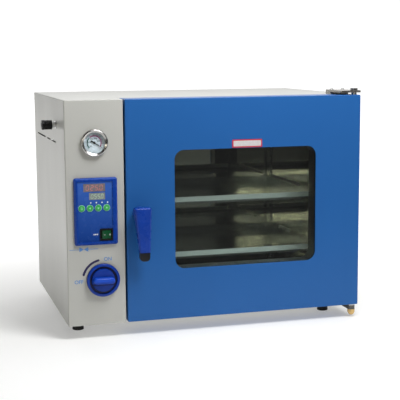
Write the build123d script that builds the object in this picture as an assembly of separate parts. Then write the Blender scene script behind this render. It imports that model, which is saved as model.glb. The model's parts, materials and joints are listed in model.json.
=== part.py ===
from build123d import *
import os
from math import cos, radians, sin, sqrt

# Bench-top vacuum oven. Lengths are in millimetres and angles in degrees.
# Everything is drawn from the lower front left corner of the case: x runs to the right,
# y to the back and z up. The finished pieces are moved so that the origin lies on the floor,
# under the middle of the whole oven's box.

# ---------------------------------------------------------------- case
CASE_W = 700.0
CASE_D = 495.0
CASE_H = 503.0
SHEET = 1.5
CASE_BEND_R = 3.0
ROOF_EDGE_R = 2.0
PANEL_W = 131.0
FOLD = 12.0
SOFT_GAP = 0.3
FIT_GAP = 0.2
RUN_GAP = 0.08
HOLE_GAP = 1.0
EDGE_CHAMFER = 1.0
CUT = 1.0

FOOT_H = 32.0
FOOT_R = 13.5
FOOT_TOP_R = 11.0
FOOT_STUD_R = 3.0
FOOT_STUD_L = 6.0
FOOT_LEFT_INSET = 36.0
FOOT_RIGHT_INSET = 52.0
FOOT_FRONT_INSET = 95.0

VENT_SLOT_START = 128.0
VENT_SLOT_PITCH = 171.0
VENT_SLOT_COUNT = 2
VENT_SLOT_L = 141.0
VENT_SLOT_W = 3.6
VENT_SLOT_DROP = 101.0

LOUVRE_COUNT = 6
LOUVRE_L = 84.0
LOUVRE_PITCH = 16.0
LOUVRE_R = 5.0
LOUVRE_WALL = 1.2
LOUVRE_DROP = 173.0

# ---------------------------------------------------------------- chamber
CHAMBER_SIDE = 75.0
CHAMBER_END = 79.0
CHAMBER_BACK_ROOM = 60.0
CHAMBER_WALL = 5.0
CHAMBER_R = 20.0
FLANGE_W = 25.0
FLANGE_T = 6.0
HEATER_T = 3.0
HEATER_MARGIN = 30.0
SEAL_GROOVE_W = 10.0
SEAL_GROOVE_D = 4.0
SEAL_STEP = 1.0
SEAL_LIP_W = 5.0
STUB_R = 7.0
STUB_L = 22.0

LOWER_SHELF_LEVEL = 41.0
UPPER_SHELF_LEVEL = 171.0
SHELF_T = 1.2
SHELF_LIP = 17.0
SHELF_R = 8.0
SHELF_FRONT = 32.0
SHELF_BACK_GAP = 6.0
RAIL_T = 1.5
RAIL_LEDGE = 14.0
RAIL_LEG = 25.0
POST_T = 2.0
POST_W = 14.0
POST_INSET = 30.0
RACK_CLEAR = 0.5

PROBE_R = 3.0
PROBE_REACH = 40.0
PROBE_TAIL = 20.0
PROBE_COLLAR_R = 7.0
PROBE_COLLAR_T = 6.0
PROBE_OFFSET = 150.0
PROBE_UP = 128.0

# ---------------------------------------------------------------- door
DOOR_T = 60.0
DOOR_GAP = 4.0
DOOR_BACK_GAP = 5.0
DOOR_EDGE_R = 3.0
DOOR_FACE_R = 2.0
WINDOW_INSET = 37.0
WINDOW_R = 22.0
PANE_T = 5.0
PANE_OVERLAP = 12.0
GASKET_FACE = 2.0
GASKET_EDGE = 3.0
GASKET_REVEAL = 1.0
GLASS_T = 12.0
GLASS_OVERLAP = 20.0
GLASS_R = 24.0
GLASS_CLEAR = 1.0

HINGE_INSET_X = 12.0
HINGE_INSET_Y = 12.0
HINGE_PIN_R = 5.0
HINGE_PIN_IN = 30.0
HINGE_BLOCK_W = 27.0
HINGE_BLOCK_D = 34.0
HINGE_BLOCK_H = 36.0
PLATE_W = 52.0
PLATE_OVERHANG = 2.0
PLATE_FRONT = 2.0
PLATE_D = 93.0
PLATE_T = 5.0
PLATE_R = 4.0
PLATE_FOOT_W = 50.0
PLATE_FOOT_D = 27.0
PLATE_LIFT = 5.0
PLATE_SCREW_PITCH = 28.0
BOLT_HEAD_AF = 16.5
BOLT_HEAD_H = 5.0
BOLT_COLLAR_R = 6.5
ARM_R = 8.5
ARM_T = 10.0
ARM_DROP = 3.0
ARM_STEP_INSET = 1.0
NUT_AF = 17.0
NUT_H = 7.0
NUT_DOME_R = 8.0
PIN_IN_DOME = 1.0

# ---------------------------------------------------------------- door lever
LEVER_INSET = 28.5
LEVER_DROP = 3.0
LEVER_TOP_W = 39.0
LEVER_END_W = 25.0
LEVER_TOP_T = 22.0
LEVER_END_T = 15.0
LEVER_ABOVE = 17.0
LEVER_BELOW = 84.0
LEVER_LEAN = 5.0
LEVER_STAND = 24.0
LEVER_EDGE_R = 5.0
LEVER_CROWN_R = 4.0
HUB_R = 15.0
HUB_GAP = 1.0
SPINDLE_R = 7.0
ARM_BAR_W = 13.0
ARM_BAR_T = 7.0
ARM_TIP_W = 23.0
ARM_TIP_T = 11.0
ARM_TIP_L = 20.0
ARM_TIP_R = 9.0
CAM_L = 34.0
CAM_W = 14.0
CAM_T = 8.0
CAM_R = 6.0
CAM_NECK_R = 5.0
CAM_GAP = 1.5
CAM_WASHER_T = 2.0
KEEPER_T = 5.0
KEEPER_RIM = 9.0
SLOT_SIDE = 4.0
SLOT_STEP = 5.0
LATCH_ROOM = 12.0

# ---------------------------------------------------------------- control face
GAUGE_DROP = 94.0
GAUGE_R = 30.0
GAUGE_FACE_R = 23.5
GAUGE_PROUD = 9.0
GAUGE_LIP_T = 1.0
GAUGE_ROLL = 0.5
GAUGE_CASE_R = 26.0
GAUGE_CASE_D = 30.0
GAUGE_WALL = 1.5
GAUGE_FLANGE_T = 4.0
GAUGE_LENS_T = 2.0
GAUGE_STEM_R = 7.0
GAUGE_STEM_L = 14.0
DIAL_T = 1.0
DIAL_DEPTH = 4.0
NEEDLE_ANGLE = -32.0
NEEDLE_TIP_L = 19.0
NEEDLE_TAIL_L = 9.0
NEEDLE_TIP_W = 0.8
NEEDLE_TAIL_W = 3.4
NEEDLE_T = 0.8
NEEDLE_LIFT = 1.2
NEEDLE_HUB_R = 2.6
NEEDLE_PIN_R = 0.8
NEEDLE_PIN_L = 6.0

BEZEL_W = 97.0
BEZEL_H = 150.0
BEZEL_RISE = 6.0
BEZEL_R = 5.0
BEZEL_PROUD = 8.0
BEZEL_CHAMFER = 4.0
BEZEL_POCKET = 2.0
BEZEL_RIM = 8.0
BEZEL_RIGHT_RIM = 11.0
BEZEL_SKIN = 3.0
SLEEVE_INSET = 3.0
SLEEVE_WALL = 2.0
SLEEVE_D = 30.0
BOARD_Y = 2.0
BOARD_T = 1.6
BOARD_GAP = 0.5
KEY_Z = 8.0
KEY_OFFSETS = (-31.9, -13.3, 5.3, 23.9)
KEY_NAMES = ("menu_key", "left_key", "down_key", "up_key")
KEY_R = 6.6
KEY_PROUD = 2.0
KEY_FLANGE = 1.2
KEY_FLANGE_T = 1.2
KEY_TRAVEL = 1.0
KEY_BOARD_GAP = 0.9
UPPER_DISPLAY = (-2.9, 53.2, 48.4, 17.5)
LOWER_DISPLAY = (3.2, 34.0, 35.5, 15.0)
DISPLAY_DEPTH = 0.2
LAMP_R = 1.6
LAMP_Z = 20.0
LAMP_START = -11.5
LAMP_PITCH = 12.6
LAMP_COUNT = 4
LAMP_PROUD = 0.6
SWITCH_X = 22.1
SWITCH_Z = -52.0
SWITCH_W = 29.3
SWITCH_H = 27.0
SWITCH_RIM = 1.8
SWITCH_BODY_D = 18.0
SWITCH_PROUD = 7.4
SWITCH_R = 2.0
ROCKER_R = 11.3
ROCKER_H = 18.0
ROCKER_GAP = 0.4
ROCKER_FACE = 10.0
ROCKER_DISH = 1.6
ROCKER_TILT = 10.0
ROCKER_AXLE_IN = 3.6

# ---------------------------------------------------------------- vacuum valve and pipes
KNOB_OFFSET = 13.5
KNOB_Z = 102.6
KNOB_R = 37.5
KNOB_RING_W = 6.0
KNOB_RING_T = 8.0
KNOB_GROOVE_D = 5.0
KNOB_CORE_R = 27.0
KNOB_CORE_TOP_R = 25.5
KNOB_CORE_H = 6.0
KNOB_GAP = 1.5
KNOB_CHAMFER = 2.0
KNOB_GROOVE_SLOPE = 1.0
KNOB_GRIP_W = 13.0
KNOB_GRIP_BASE_W = 17.0
KNOB_GRIP_L = 47.0
KNOB_GRIP_H = 14.0
KNOB_GRIP_R = 3.0
KNOB_BORE_D = 13.0
KNOB_CAVITY_R = 21.0
KNOB_CAVITY_D = 6.0
VALVE_SPINDLE_R = 4.0
VALVE_SPINDLE_L = 44.0
VALVE_NECK_R = 9.0
VALVE_NECK_OUT = 5.0
VALVE_BODY = 36.0
VALVE_BODY_D = 42.0
VALVE_CHAMFER = 2.5
VALVE_GAP = 6.0
PIPE_R = 4.0
PIPE_BORE_R = 3.0
PIPE_BEND_R = 16.0
PIPE_DEPTH_IN = 8.0
CHAMBER_PIPE_Z = 160.0
CHAMBER_PIPE_Y = 250.0
GAUGE_PIPE_DROP = 143.0
GAUGE_PIPE_Y = 200.0
VENT_PIPE_X = 96.0
VENT_PIPE_DROP = 118.0
VENT_Y = 117.0
VENT_DROP = 60.0
VENT_NECK_R = 6.0
VENT_NECK_L = 9.0
VENT_FLANGE_R = 9.0
VENT_FLANGE_T = 2.0
VENT_INSIDE = 26.0
VENT_KNOB_R = 10.2
VENT_KNOB_END_R = 11.2
VENT_KNOB_L = 24.0
VENT_KNOB_END_L = 6.0
VENT_FLUTES = 18
VENT_FLUTE_R = 0.9
VENT_STEM_IN = 4.0
PORT_R = 5.0
PORT_L = 30.0
PORT_BORE_R = 3.0
PORT_FLANGE_R = 16.0
PORT_FLANGE_T = 4.0
PORT_SHANK_R = 8.0
PORT_SHANK_L = 24.0

# ---------------------------------------------------------------- electrics
GLAND_INSET = 21.0
GLAND_Z = 50.0
GLAND_R = 11.0
GLAND_NUT_AF = 24.0
GLAND_NUT_T = 6.0
GLAND_CAP_L = 12.0
GLAND_IN = 12.0
GLAND_LOCK_T = 4.0
GLAND_SHANK_R = 8.0
GLAND_BORE_R = 4.5
FUSE_X = 36.0
FUSE_Z = 50.0
FUSE_CAP_R = 9.0
FUSE_CAP_L = 8.0
FUSE_BODY_R = 7.0
FUSE_BODY_L = 34.0
FUSE_SLOT_W = 2.0
RELAY_T = 23.0
RELAY_L = 58.0
RELAY_H = 45.0
RELAY_CHAMFER = 2.5
RELAY_Y = 200.0
RELAY_DROP = 213.0
TERMINAL_COUNT = 6
TERMINAL_PITCH = 10.0
TERMINAL_D = 22.0
TERMINAL_H = 20.0
TERMINAL_X = 18.0
TERMINAL_Y = 330.0
TERMINAL_POCKET_R = 2.5
TERMINAL_POCKET_D = 4.0

SCREW_R = 2.0
SCREW_HEAD_R = 4.0
SCREW_HEAD_T = 2.4
SCREW_L = 8.0
SCREW_EDGE = 12.0
SCREW_COLUMNS = 4
SCREW_ROWS = 3
PLATE_SCREW_R = 3.0
PLATE_SCREW_HEAD_R = 5.5

# ---------------------------------------------------------------- places worked out from those
CASE_FRONT = DOOR_T + DOOR_BACK_GAP
FRAME_BACK = CASE_FRONT + SHEET
DOOR_LEFT = PANEL_W + DOOR_GAP
DOOR_MID = (DOOR_LEFT + CASE_W) / 2
MID_Z = CASE_H / 2
PANEL_MID = PANEL_W / 2
CHAMBER_W = CASE_W - DOOR_LEFT - 2 * CHAMBER_SIDE
CHAMBER_H = CASE_H - 2 * CHAMBER_END
WINDOW_W = CHAMBER_W - 2 * WINDOW_INSET
WINDOW_H = CHAMBER_H - 2 * WINDOW_INSET
CHAMBER_LEFT = DOOR_MID - CHAMBER_W / 2
CHAMBER_RIGHT = DOOR_MID + CHAMBER_W / 2
CHAMBER_FLOOR = MID_Z - CHAMBER_H / 2
LEVER_X = DOOR_LEFT + LEVER_INSET
LEVER_Z = MID_Z - LEVER_DROP
LEVER_END_Z = LEVER_Z - LEVER_BELOW
LEVER_FACE = -LEVER_STAND - LEVER_END_T / 2
CHAMBER_BACK = CASE_D - CHAMBER_BACK_ROOM
HINGE_X = CASE_W - HINGE_INSET_X
KNOB_X = PANEL_MID + KNOB_OFFSET
KNOB_GROOVE_Y = -KNOB_GAP - KNOB_RING_T + KNOB_GROOVE_D
GAUGE_Z = CASE_H - GAUGE_DROP
GAUGE_PIPE_Z = CASE_H - GAUGE_PIPE_DROP
VENT_PIPE_Z = CASE_H - VENT_PIPE_DROP
VENT_Z = CASE_H - VENT_DROP
VENT_SLOT_Z = CASE_H - VENT_SLOT_DROP
LOUVRE_LOW_Z = CASE_H - LOUVRE_DROP
RELAY_Z = CASE_H - RELAY_DROP
BEZEL_Z = MID_Z + BEZEL_RISE
BEZEL_FACE = -BEZEL_PROUD + BEZEL_POCKET
BEZEL_INSIDE = BEZEL_FACE + BEZEL_SKIN
GASKET_BACK = SHEET + 2 * GASKET_FACE + PANE_T
LEDGE_FRONT = DOOR_T - GLASS_T - SHEET
GLASS_W = CHAMBER_W + 2 * GLASS_OVERLAP
GLASS_H = CHAMBER_H + 2 * GLASS_OVERLAP
CAM_FRONT = FRAME_BACK + KEEPER_T + CAM_GAP
GLAND_X = PANEL_W - GLAND_INSET
GLAND_OUT = GLAND_NUT_T + GLAND_CAP_L
ORIGIN_X = (CASE_W + PLATE_OVERHANG - VENT_NECK_L - VENT_KNOB_L) / 2
ORIGIN_Y = (CASE_D + PORT_FLANGE_T + PORT_L - LEVER_STAND - LEVER_TOP_T) / 2

RIGHT = (1, 0, 0)
LEFT = (-1, 0, 0)
BACKWARD = (0, 1, 0)
FORWARD = (0, -1, 0)
UP = (0, 0, 1)
DOWN = (0, 0, -1)
FROM_END = (Align.CENTER, Align.CENTER, Align.MIN)


# ---------------------------------------------------------------- drawing helpers
def block(x, y, z):
    """A box between two places along each axis."""
    size = [high - low for low, high in (x, y, z)]
    middle = [(high + low) / 2 for low, high in (x, y, z)]
    return Pos(*middle) * Box(*size)


def rod(start, direction, radius, length, end_radius=None):
    """A round bar, or a taper, that starts at a place and runs along a direction."""
    plane = Plane(origin=start, z_dir=direction)
    if end_radius is None:
        return plane * Cylinder(radius, length, align=FROM_END)
    return plane * Cone(radius, end_radius, length, align=FROM_END)


def hexagon(start, direction, across_flats, length):
    plane = Plane(origin=start, z_dir=direction)
    return extrude(plane * RegularPolygon(across_flats / sqrt(3), 6), amount=length)


def panel(width, height, radius, x, z, y):
    """A plate with round corners that stands across the y axis."""
    front, back = y
    plane = Plane(origin=(x, back, z), x_dir=RIGHT, z_dir=FORWARD)
    return extrude(plane * RectangleRounded(width, height, radius), amount=back - front)


def window_panel(margin, y, radius=WINDOW_R):
    """A plate in line with the window, larger than it by a margin all round."""
    return panel(WINDOW_W + 2 * margin, WINDOW_H + 2 * margin, radius, DOOR_MID, MID_Z, y)


def chamber_panel(margin, y):
    """A plate in line with the chamber, larger than its inside by a margin all round."""
    width = CHAMBER_W + 2 * margin
    return panel(width, CHAMBER_H + 2 * margin, CHAMBER_R + margin, DOOR_MID, MID_Z, y)


def glass_panel(margin, y):
    """A plate in line with the thick door glass, larger than it by a margin all round."""
    return panel(GLASS_W + 2 * margin, GLASS_H + 2 * margin, GLASS_R + margin, DOOR_MID, MID_Z, y)


def turned(points, origin, direction):
    """A body of revolution from a half profile of radius and height points."""
    profile = make_face(Polyline(*[(radius, 0, height) for radius, height in points], close=True))
    return Plane(origin=origin, z_dir=direction) * revolve(profile, Axis.Z)


def edges_at(shape, axis, **limits):
    """The edges along an axis whose middle lies between the limits given for x, y or z."""
    chosen = shape.edges().filter_by(axis)
    for name, (low, high) in limits.items():
        chosen = [edge for edge in chosen if low < getattr(edge.center(), name.upper()) < high]
    return chosen


def tube(points):
    """A pipe of constant bore along straight runs joined by bends."""
    path = FilletPolyline(*points, radius=PIPE_BEND_R) if len(points) > 2 else Polyline(*points)
    start = Plane(origin=path @ 0, z_dir=path % 0)
    outside = sweep(start * Circle(PIPE_R), path=path)
    return outside - sweep(start * Circle(PIPE_BORE_R), path=path)


pieces = {}


# ---------------------------------------------------------------- case
def pipe_ports():
    """Where the three pipes enter the left wall of the chamber: their y and z."""
    return (
        (CHAMBER_PIPE_Y, CHAMBER_PIPE_Z),
        (GAUGE_PIPE_Y, GAUGE_PIPE_Z),
        (VENT_Y, VENT_PIPE_Z),
    )


def make_outer_case():
    control = block((0, PANEL_W), (0, CASE_D), (0, CASE_H))
    main = block((0, CASE_W), (CASE_FRONT, CASE_D), (0, CASE_H))
    shell = control + main
    corners = edges_at(shell, Axis.Z, y=(-CUT, CUT))
    corners += edges_at(shell, Axis.Z, x=(CASE_W - CUT, CASE_W + CUT), y=(0, CASE_D - CUT))
    shell = fillet(corners, CASE_BEND_R)
    roof = shell.faces().sort_by(Axis.Z)[-1]
    shell = fillet([edge for edge in roof.edges() if edge.center().Y < CASE_D - CUT], ROOF_EDGE_R)
    shell -= block((SHEET, PANEL_W - SHEET), (SHEET, CASE_D + CUT), (-CUT, CASE_H - SHEET))
    shell -= block((SHEET, CASE_W - SHEET), (CASE_FRONT, CASE_D + CUT), (-CUT, CASE_H - SHEET))
    shell -= rod((PANEL_MID, -CUT, GAUGE_Z), BACKWARD, GAUGE_CASE_R + FIT_GAP, SHEET + 2 * CUT)
    shell -= rod((KNOB_X, -CUT, KNOB_Z), BACKWARD, VALVE_NECK_R + FIT_GAP, SHEET + 2 * CUT)
    inset = SLEEVE_INSET - FIT_GAP
    shell -= block(
        (PANEL_MID - BEZEL_W / 2 + inset, PANEL_MID + BEZEL_W / 2 - inset),
        (-CUT, SHEET + CUT),
        (BEZEL_Z - BEZEL_H / 2 + inset, BEZEL_Z + BEZEL_H / 2 - inset),
    )
    for count in range(VENT_SLOT_COUNT):
        start = VENT_SLOT_START + count * VENT_SLOT_PITCH
        middle = (0, start + VENT_SLOT_L / 2, VENT_SLOT_Z)
        plane = Plane(origin=middle, x_dir=BACKWARD, z_dir=RIGHT)
        shell -= extrude(plane * SlotOverall(VENT_SLOT_L, VENT_SLOT_W), amount=SHEET + CUT, both=True)
    shell -= rod((-CUT, VENT_Y, VENT_Z), RIGHT, VENT_NECK_R + FIT_GAP, SHEET + 2 * CUT)
    return shell


def make_front_frame():
    x = (PANEL_W - SHEET, CASE_W - SHEET)
    z = (SHEET, CASE_H - SHEET)
    frame = block(x, (CASE_FRONT, CASE_FRONT + FOLD), z)
    frame -= block(
        (x[0] + SHEET, x[1] - SHEET),
        (FRAME_BACK, CASE_FRONT + FOLD + CUT),
        (z[0] + SHEET, z[1] - SHEET),
    )
    frame -= chamber_panel(FLANGE_W + FIT_GAP, (CASE_FRONT - CUT, FRAME_BACK + CUT))
    return frame - latch_slot(SLOT_STEP, (CASE_FRONT - CUT, FRAME_BACK + CUT))


def latch_slot(margin, y):
    """The upright slot that the latch cam passes through, wider by a margin in the frame."""
    side = SLOT_SIDE + margin
    return panel(CAM_W + 2 * side, CAM_L + 2 * side, side, LEVER_X, LEVER_Z, y)


def foot_places():
    for x in (FOOT_LEFT_INSET, CASE_W - FOOT_RIGHT_INSET):
        for y in (FOOT_FRONT_INSET, CASE_D - FOOT_FRONT_INSET):
            yield x, y


def make_base_plate():
    side_y = (SHEET, CASE_D - SHEET)
    plate = block((SHEET, PANEL_W - SHEET), side_y, (0, SHEET))
    plate += block((SHEET, CASE_W - SHEET), (CASE_FRONT, CASE_D - SHEET), (0, SHEET))
    plate += block((SHEET, 2 * SHEET), side_y, (0, FOLD))
    plate += block((2 * SHEET, PANEL_W - SHEET), (SHEET, 2 * SHEET), (0, FOLD))
    right_y = (CASE_FRONT + FOLD, CASE_D - SHEET)
    plate += block((CASE_W - 2 * SHEET, CASE_W - SHEET), right_y, (0, FOLD))
    for x, y in foot_places():
        plate -= rod((x, y, -CUT), UP, FOOT_STUD_R + FIT_GAP, SHEET + 2 * CUT)
    return plate


def make_feet():
    feet = []
    for x, y in foot_places():
        foot = rod((x, y, -FOOT_H), UP, FOOT_R, FOOT_H, FOOT_TOP_R)
        foot = fillet(foot.edges().sort_by(Axis.Z)[0], SHEET)
        feet.append(foot + rod((x, y, 0), UP, FOOT_STUD_R, FOOT_STUD_L))
    return feet


def louvre_places():
    for row in range(LOUVRE_COUNT):
        yield PANEL_MID, LOUVRE_LOW_Z + row * LOUVRE_PITCH


def screw_places():
    """The screws round the edge of the back panel."""
    low_x, high_x = SHEET + SCREW_EDGE, CASE_W - SHEET - SCREW_EDGE
    low_z, high_z = SHEET + SCREW_EDGE, CASE_H - SHEET - SCREW_EDGE
    for column in range(SCREW_COLUMNS):
        x = low_x + (high_x - low_x) * column / (SCREW_COLUMNS - 1)
        for row in range(SCREW_ROWS):
            if 0 < column < SCREW_COLUMNS - 1 and 0 < row < SCREW_ROWS - 1:
                continue
            yield x, low_z + (high_z - low_z) * row / (SCREW_ROWS - 1)


def make_back_panel():
    inside = CASE_D - SHEET
    plate = block((SHEET, CASE_W - SHEET), (inside, CASE_D), (0, CASE_H - SHEET))
    for x, z in louvre_places():
        start = (x - LOUVRE_L / 2, CASE_D, z)
        hood = rod(start, RIGHT, LOUVRE_R, LOUVRE_L)
        inner_start = (start[0] + LOUVRE_WALL, CASE_D, z)
        inner = rod(inner_start, RIGHT, LOUVRE_R - LOUVRE_WALL, LOUVRE_L - 2 * LOUVRE_WALL)
        hood_x = (start[0], start[0] + LOUVRE_L)
        above = block(hood_x, (CASE_D - SHEET, CASE_D + LOUVRE_R), (z, z + LOUVRE_R))
        mouth_x = (start[0] + LOUVRE_WALL, start[0] + LOUVRE_L - LOUVRE_WALL)
        plate += hood & above
        plate -= inner & block(mouth_x, (CASE_D - LOUVRE_R, CASE_D + LOUVRE_R), (z - CUT, z + LOUVRE_R))
    plate -= rod((KNOB_X, inside - CUT, KNOB_Z), BACKWARD, PORT_SHANK_R + FIT_GAP, SHEET + 2 * CUT)
    plate -= rod((GLAND_X, inside - CUT, GLAND_Z), BACKWARD, GLAND_SHANK_R + FIT_GAP, SHEET + 2 * CUT)
    plate -= rod((FUSE_X, inside - CUT, FUSE_Z), BACKWARD, FUSE_BODY_R + FIT_GAP, SHEET + 2 * CUT)
    for x, z in screw_places():
        plate -= rod((x, inside - CUT, z), BACKWARD, SCREW_R + FIT_GAP, SHEET + 2 * CUT)
    return plate


def plate_screw_places():
    middle = CASE_W + PLATE_OVERHANG - PLATE_W + PLATE_FOOT_W / 2
    y = PLATE_FRONT + PLATE_D - PLATE_FOOT_D / 2
    for side in (-1, 1):
        yield middle + side * PLATE_SCREW_PITCH / 2, y


def make_case_screws():
    screws = []
    for x, z in screw_places():
        shank = rod((x, CASE_D - SCREW_L, z), BACKWARD, SCREW_R, SCREW_L)
        head = rod((x, CASE_D, z), BACKWARD, SCREW_HEAD_R, SCREW_HEAD_T, SCREW_HEAD_R / 2)
        screws.append(shank + head)
    top = CASE_H + PLATE_LIFT + PLATE_T
    for x, y in plate_screw_places():
        shank = rod((x, y, CASE_H), UP, PLATE_SCREW_R, PLATE_LIFT + PLATE_T)
        head = rod((x, y, top), UP, PLATE_SCREW_HEAD_R, SCREW_HEAD_T, PLATE_SCREW_HEAD_R / 2)
        screws.append(shank + head)
    return screws


def make_compartment_divider():
    z = (2 * SHEET, CASE_H - 2 * SHEET)
    plate = block((PANEL_W, PANEL_W + SHEET), (FRAME_BACK, CASE_D - SHEET), z)
    plate += block((PANEL_W, PANEL_W + FOLD), (CASE_D - 2 * SHEET, CASE_D - SHEET), z)
    for y, z in pipe_ports():
        plate -= rod((PANEL_W - CUT, y, z), RIGHT, PIPE_R + HOLE_GAP, SHEET + 2 * CUT)
    return plate


# ---------------------------------------------------------------- chamber
def make_vacuum_chamber():
    back = CHAMBER_BACK + CHAMBER_WALL
    chamber = chamber_panel(CHAMBER_WALL, (CASE_FRONT, back))
    chamber += chamber_panel(FLANGE_W, (CASE_FRONT, CASE_FRONT + FLANGE_T))
    for y, z in pipe_ports():
        chamber += rod((CHAMBER_LEFT - CHAMBER_WALL, y, z), LEFT, STUB_R, STUB_L)
    chamber -= chamber_panel(0, (CASE_FRONT - CUT, CHAMBER_BACK))
    for y, z in pipe_ports():
        reach = CHAMBER_WALL + STUB_L + 2 * CUT
        chamber -= rod((CHAMBER_LEFT + CUT, y, z), LEFT, PIPE_R + FIT_GAP, reach)
    groove_out = (FLANGE_W + SEAL_GROOVE_W) / 2
    groove_in = (FLANGE_W - SEAL_GROOVE_W) / 2
    groove_y = (CASE_FRONT - CUT, CASE_FRONT + SEAL_GROOVE_D)
    chamber -= chamber_panel(groove_out, groove_y) - chamber_panel(groove_in, groove_y)
    x, z = probe_place()
    return chamber - rod((x, CHAMBER_BACK - CUT, z), BACKWARD, PROBE_R + FIT_GAP, CHAMBER_WALL + 2 * CUT)


def make_door_seal():
    base_y = (CASE_FRONT - SEAL_STEP, CASE_FRONT + SEAL_GROOVE_D)
    lip_y = (DOOR_T + SOFT_GAP, CASE_FRONT - SEAL_STEP)
    base_out = (FLANGE_W + SEAL_GROOVE_W) / 2 - FIT_GAP
    base_in = (FLANGE_W - SEAL_GROOVE_W) / 2 + FIT_GAP
    lip_out = (FLANGE_W + SEAL_LIP_W) / 2
    lip_in = (FLANGE_W - SEAL_LIP_W) / 2
    seal = chamber_panel(base_out, base_y) + chamber_panel(lip_out, lip_y)
    both_y = (lip_y[0] - CUT, base_y[1] + CUT)
    seal -= chamber_panel(base_in, both_y)
    front_y = (lip_y[0] - CUT, lip_y[1])
    return seal - chamber_panel(lip_in, front_y)


def heater_boxes(extra):
    """The four mats on the chamber's outside, or the room they need."""
    out = CHAMBER_WALL + HEATER_T + extra
    y = (CASE_FRONT + HEATER_MARGIN - extra, CHAMBER_BACK - HEATER_MARGIN + extra)
    half_w = CHAMBER_W / 2 - HEATER_MARGIN + extra
    half_h = CHAMBER_H / 2 - HEATER_MARGIN + extra
    wide = (DOOR_MID - half_w, DOOR_MID + half_w)
    tall = (MID_Z - half_h, MID_Z + half_h)
    roof = CHAMBER_FLOOR + CHAMBER_H
    yield block((CHAMBER_LEFT - out, CHAMBER_LEFT - CHAMBER_WALL), y, tall)
    yield block((CHAMBER_RIGHT + CHAMBER_WALL, CHAMBER_RIGHT + out), y, tall)
    yield block(wide, y, (CHAMBER_FLOOR - out, CHAMBER_FLOOR - CHAMBER_WALL))
    yield block(wide, y, (roof + CHAMBER_WALL, roof + out))


def stub_room(margin):
    """The room round the pipe stubs, from the chamber wall to the divider."""
    room = [
        rod((CHAMBER_LEFT - CHAMBER_WALL, y, z), LEFT, STUB_R + margin, CHAMBER_LEFT - PANEL_W)
        for y, z in pipe_ports()
    ]
    return Compound(room)


def make_heater_mats():
    mats = list(heater_boxes(0))
    mats[0] = mats[0] - stub_room(HOLE_GAP)
    return mats


def make_chamber_insulation():
    x = (PANEL_W + SHEET + SOFT_GAP, CASE_W - 2 * SHEET - SOFT_GAP)
    y = (FRAME_BACK + SOFT_GAP, CASE_D - SCREW_L - SOFT_GAP)
    z = (FOOT_STUD_L + SOFT_GAP, CASE_H - 2 * SHEET - SOFT_GAP)
    wool = block(x, y, z)
    wool -= chamber_panel(FLANGE_W + SOFT_GAP, (CASE_FRONT, CASE_FRONT + FLANGE_T + SOFT_GAP))
    wool -= chamber_panel(CHAMBER_WALL + SOFT_GAP, (CASE_FRONT, CHAMBER_BACK + CHAMBER_WALL + SOFT_GAP))
    for room in heater_boxes(SOFT_GAP):
        wool -= room
    wool -= stub_room(SOFT_GAP)
    reach = KEEPER_RIM + SLOT_SIDE + SOFT_GAP
    wool -= block(
        (LEVER_X - CAM_L / 2 - reach, LEVER_X + CAM_W / 2 + reach + SOFT_GAP),
        (CASE_FRONT, CAM_FRONT + CAM_T + LATCH_ROOM),
        (LEVER_Z - CAM_L / 2 - reach, LEVER_Z + CAM_L / 2 + reach),
    )
    px, pz = probe_place()
    room_r = PROBE_COLLAR_R + SOFT_GAP
    return wool - rod((px, CHAMBER_BACK, pz), BACKWARD, room_r, CASE_D - CHAMBER_BACK)


def shelf_heights():
    return CHAMBER_FLOOR + LOWER_SHELF_LEVEL, CHAMBER_FLOOR + UPPER_SHELF_LEVEL


def make_shelf_racks():
    """A ladder on each side wall: two uprights and an angle rail for each shelf."""
    racks = []
    for side, wall in ((1, CHAMBER_LEFT), (-1, CHAMBER_RIGHT)):
        def across(near, far):
            return tuple(sorted((wall + side * near, wall + side * far)))
        z = (CHAMBER_FLOOR + CHAMBER_R, CHAMBER_FLOOR + CHAMBER_H - CHAMBER_R)
        front = CASE_FRONT + POST_INSET
        back = CHAMBER_BACK - POST_INSET
        rack = block(across(0, POST_T), (front - POST_W, front), z)
        rack += block(across(0, POST_T), (back, back + POST_W), z)
        y = (front - POST_W, back + POST_W)
        for height in shelf_heights():
            rack += block(across(POST_T, POST_T + RAIL_T), y, (height - RAIL_T, height + RAIL_LEG))
            rack += block(across(POST_T, POST_T + RAIL_LEDGE), y, (height - RAIL_T, height))
        racks.append(rack)
    return racks


def make_shelf(height):
    """A tray with round corners and an upright lip all round."""
    width = CHAMBER_W - 2 * (POST_T + RAIL_T + RACK_CLEAR)
    front = CASE_FRONT + SHELF_FRONT
    back = CHAMBER_BACK - SHELF_BACK_GAP
    middle = Pos(DOOR_MID, (front + back) / 2, height)
    depth = back - front
    tray = extrude(RectangleRounded(width, depth, SHELF_R), amount=SHELF_LIP)
    inner = RectangleRounded(width - 2 * SHELF_T, depth - 2 * SHELF_T, SHELF_R - SHELF_T)
    tray -= Pos(0, 0, SHELF_T) * extrude(inner, amount=SHELF_LIP)
    return middle * tray


def probe_place():
    return DOOR_MID - PROBE_OFFSET, MID_Z + PROBE_UP


def make_temperature_probe():
    x, z = probe_place()
    length = PROBE_REACH + CHAMBER_WALL + PROBE_COLLAR_T + PROBE_TAIL
    probe = rod((x, CHAMBER_BACK - PROBE_REACH, z), BACKWARD, PROBE_R, length)
    collar = (x, CHAMBER_BACK + CHAMBER_WALL, z)
    return probe + rod(collar, BACKWARD, PROBE_COLLAR_R, PROBE_COLLAR_T)


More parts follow.
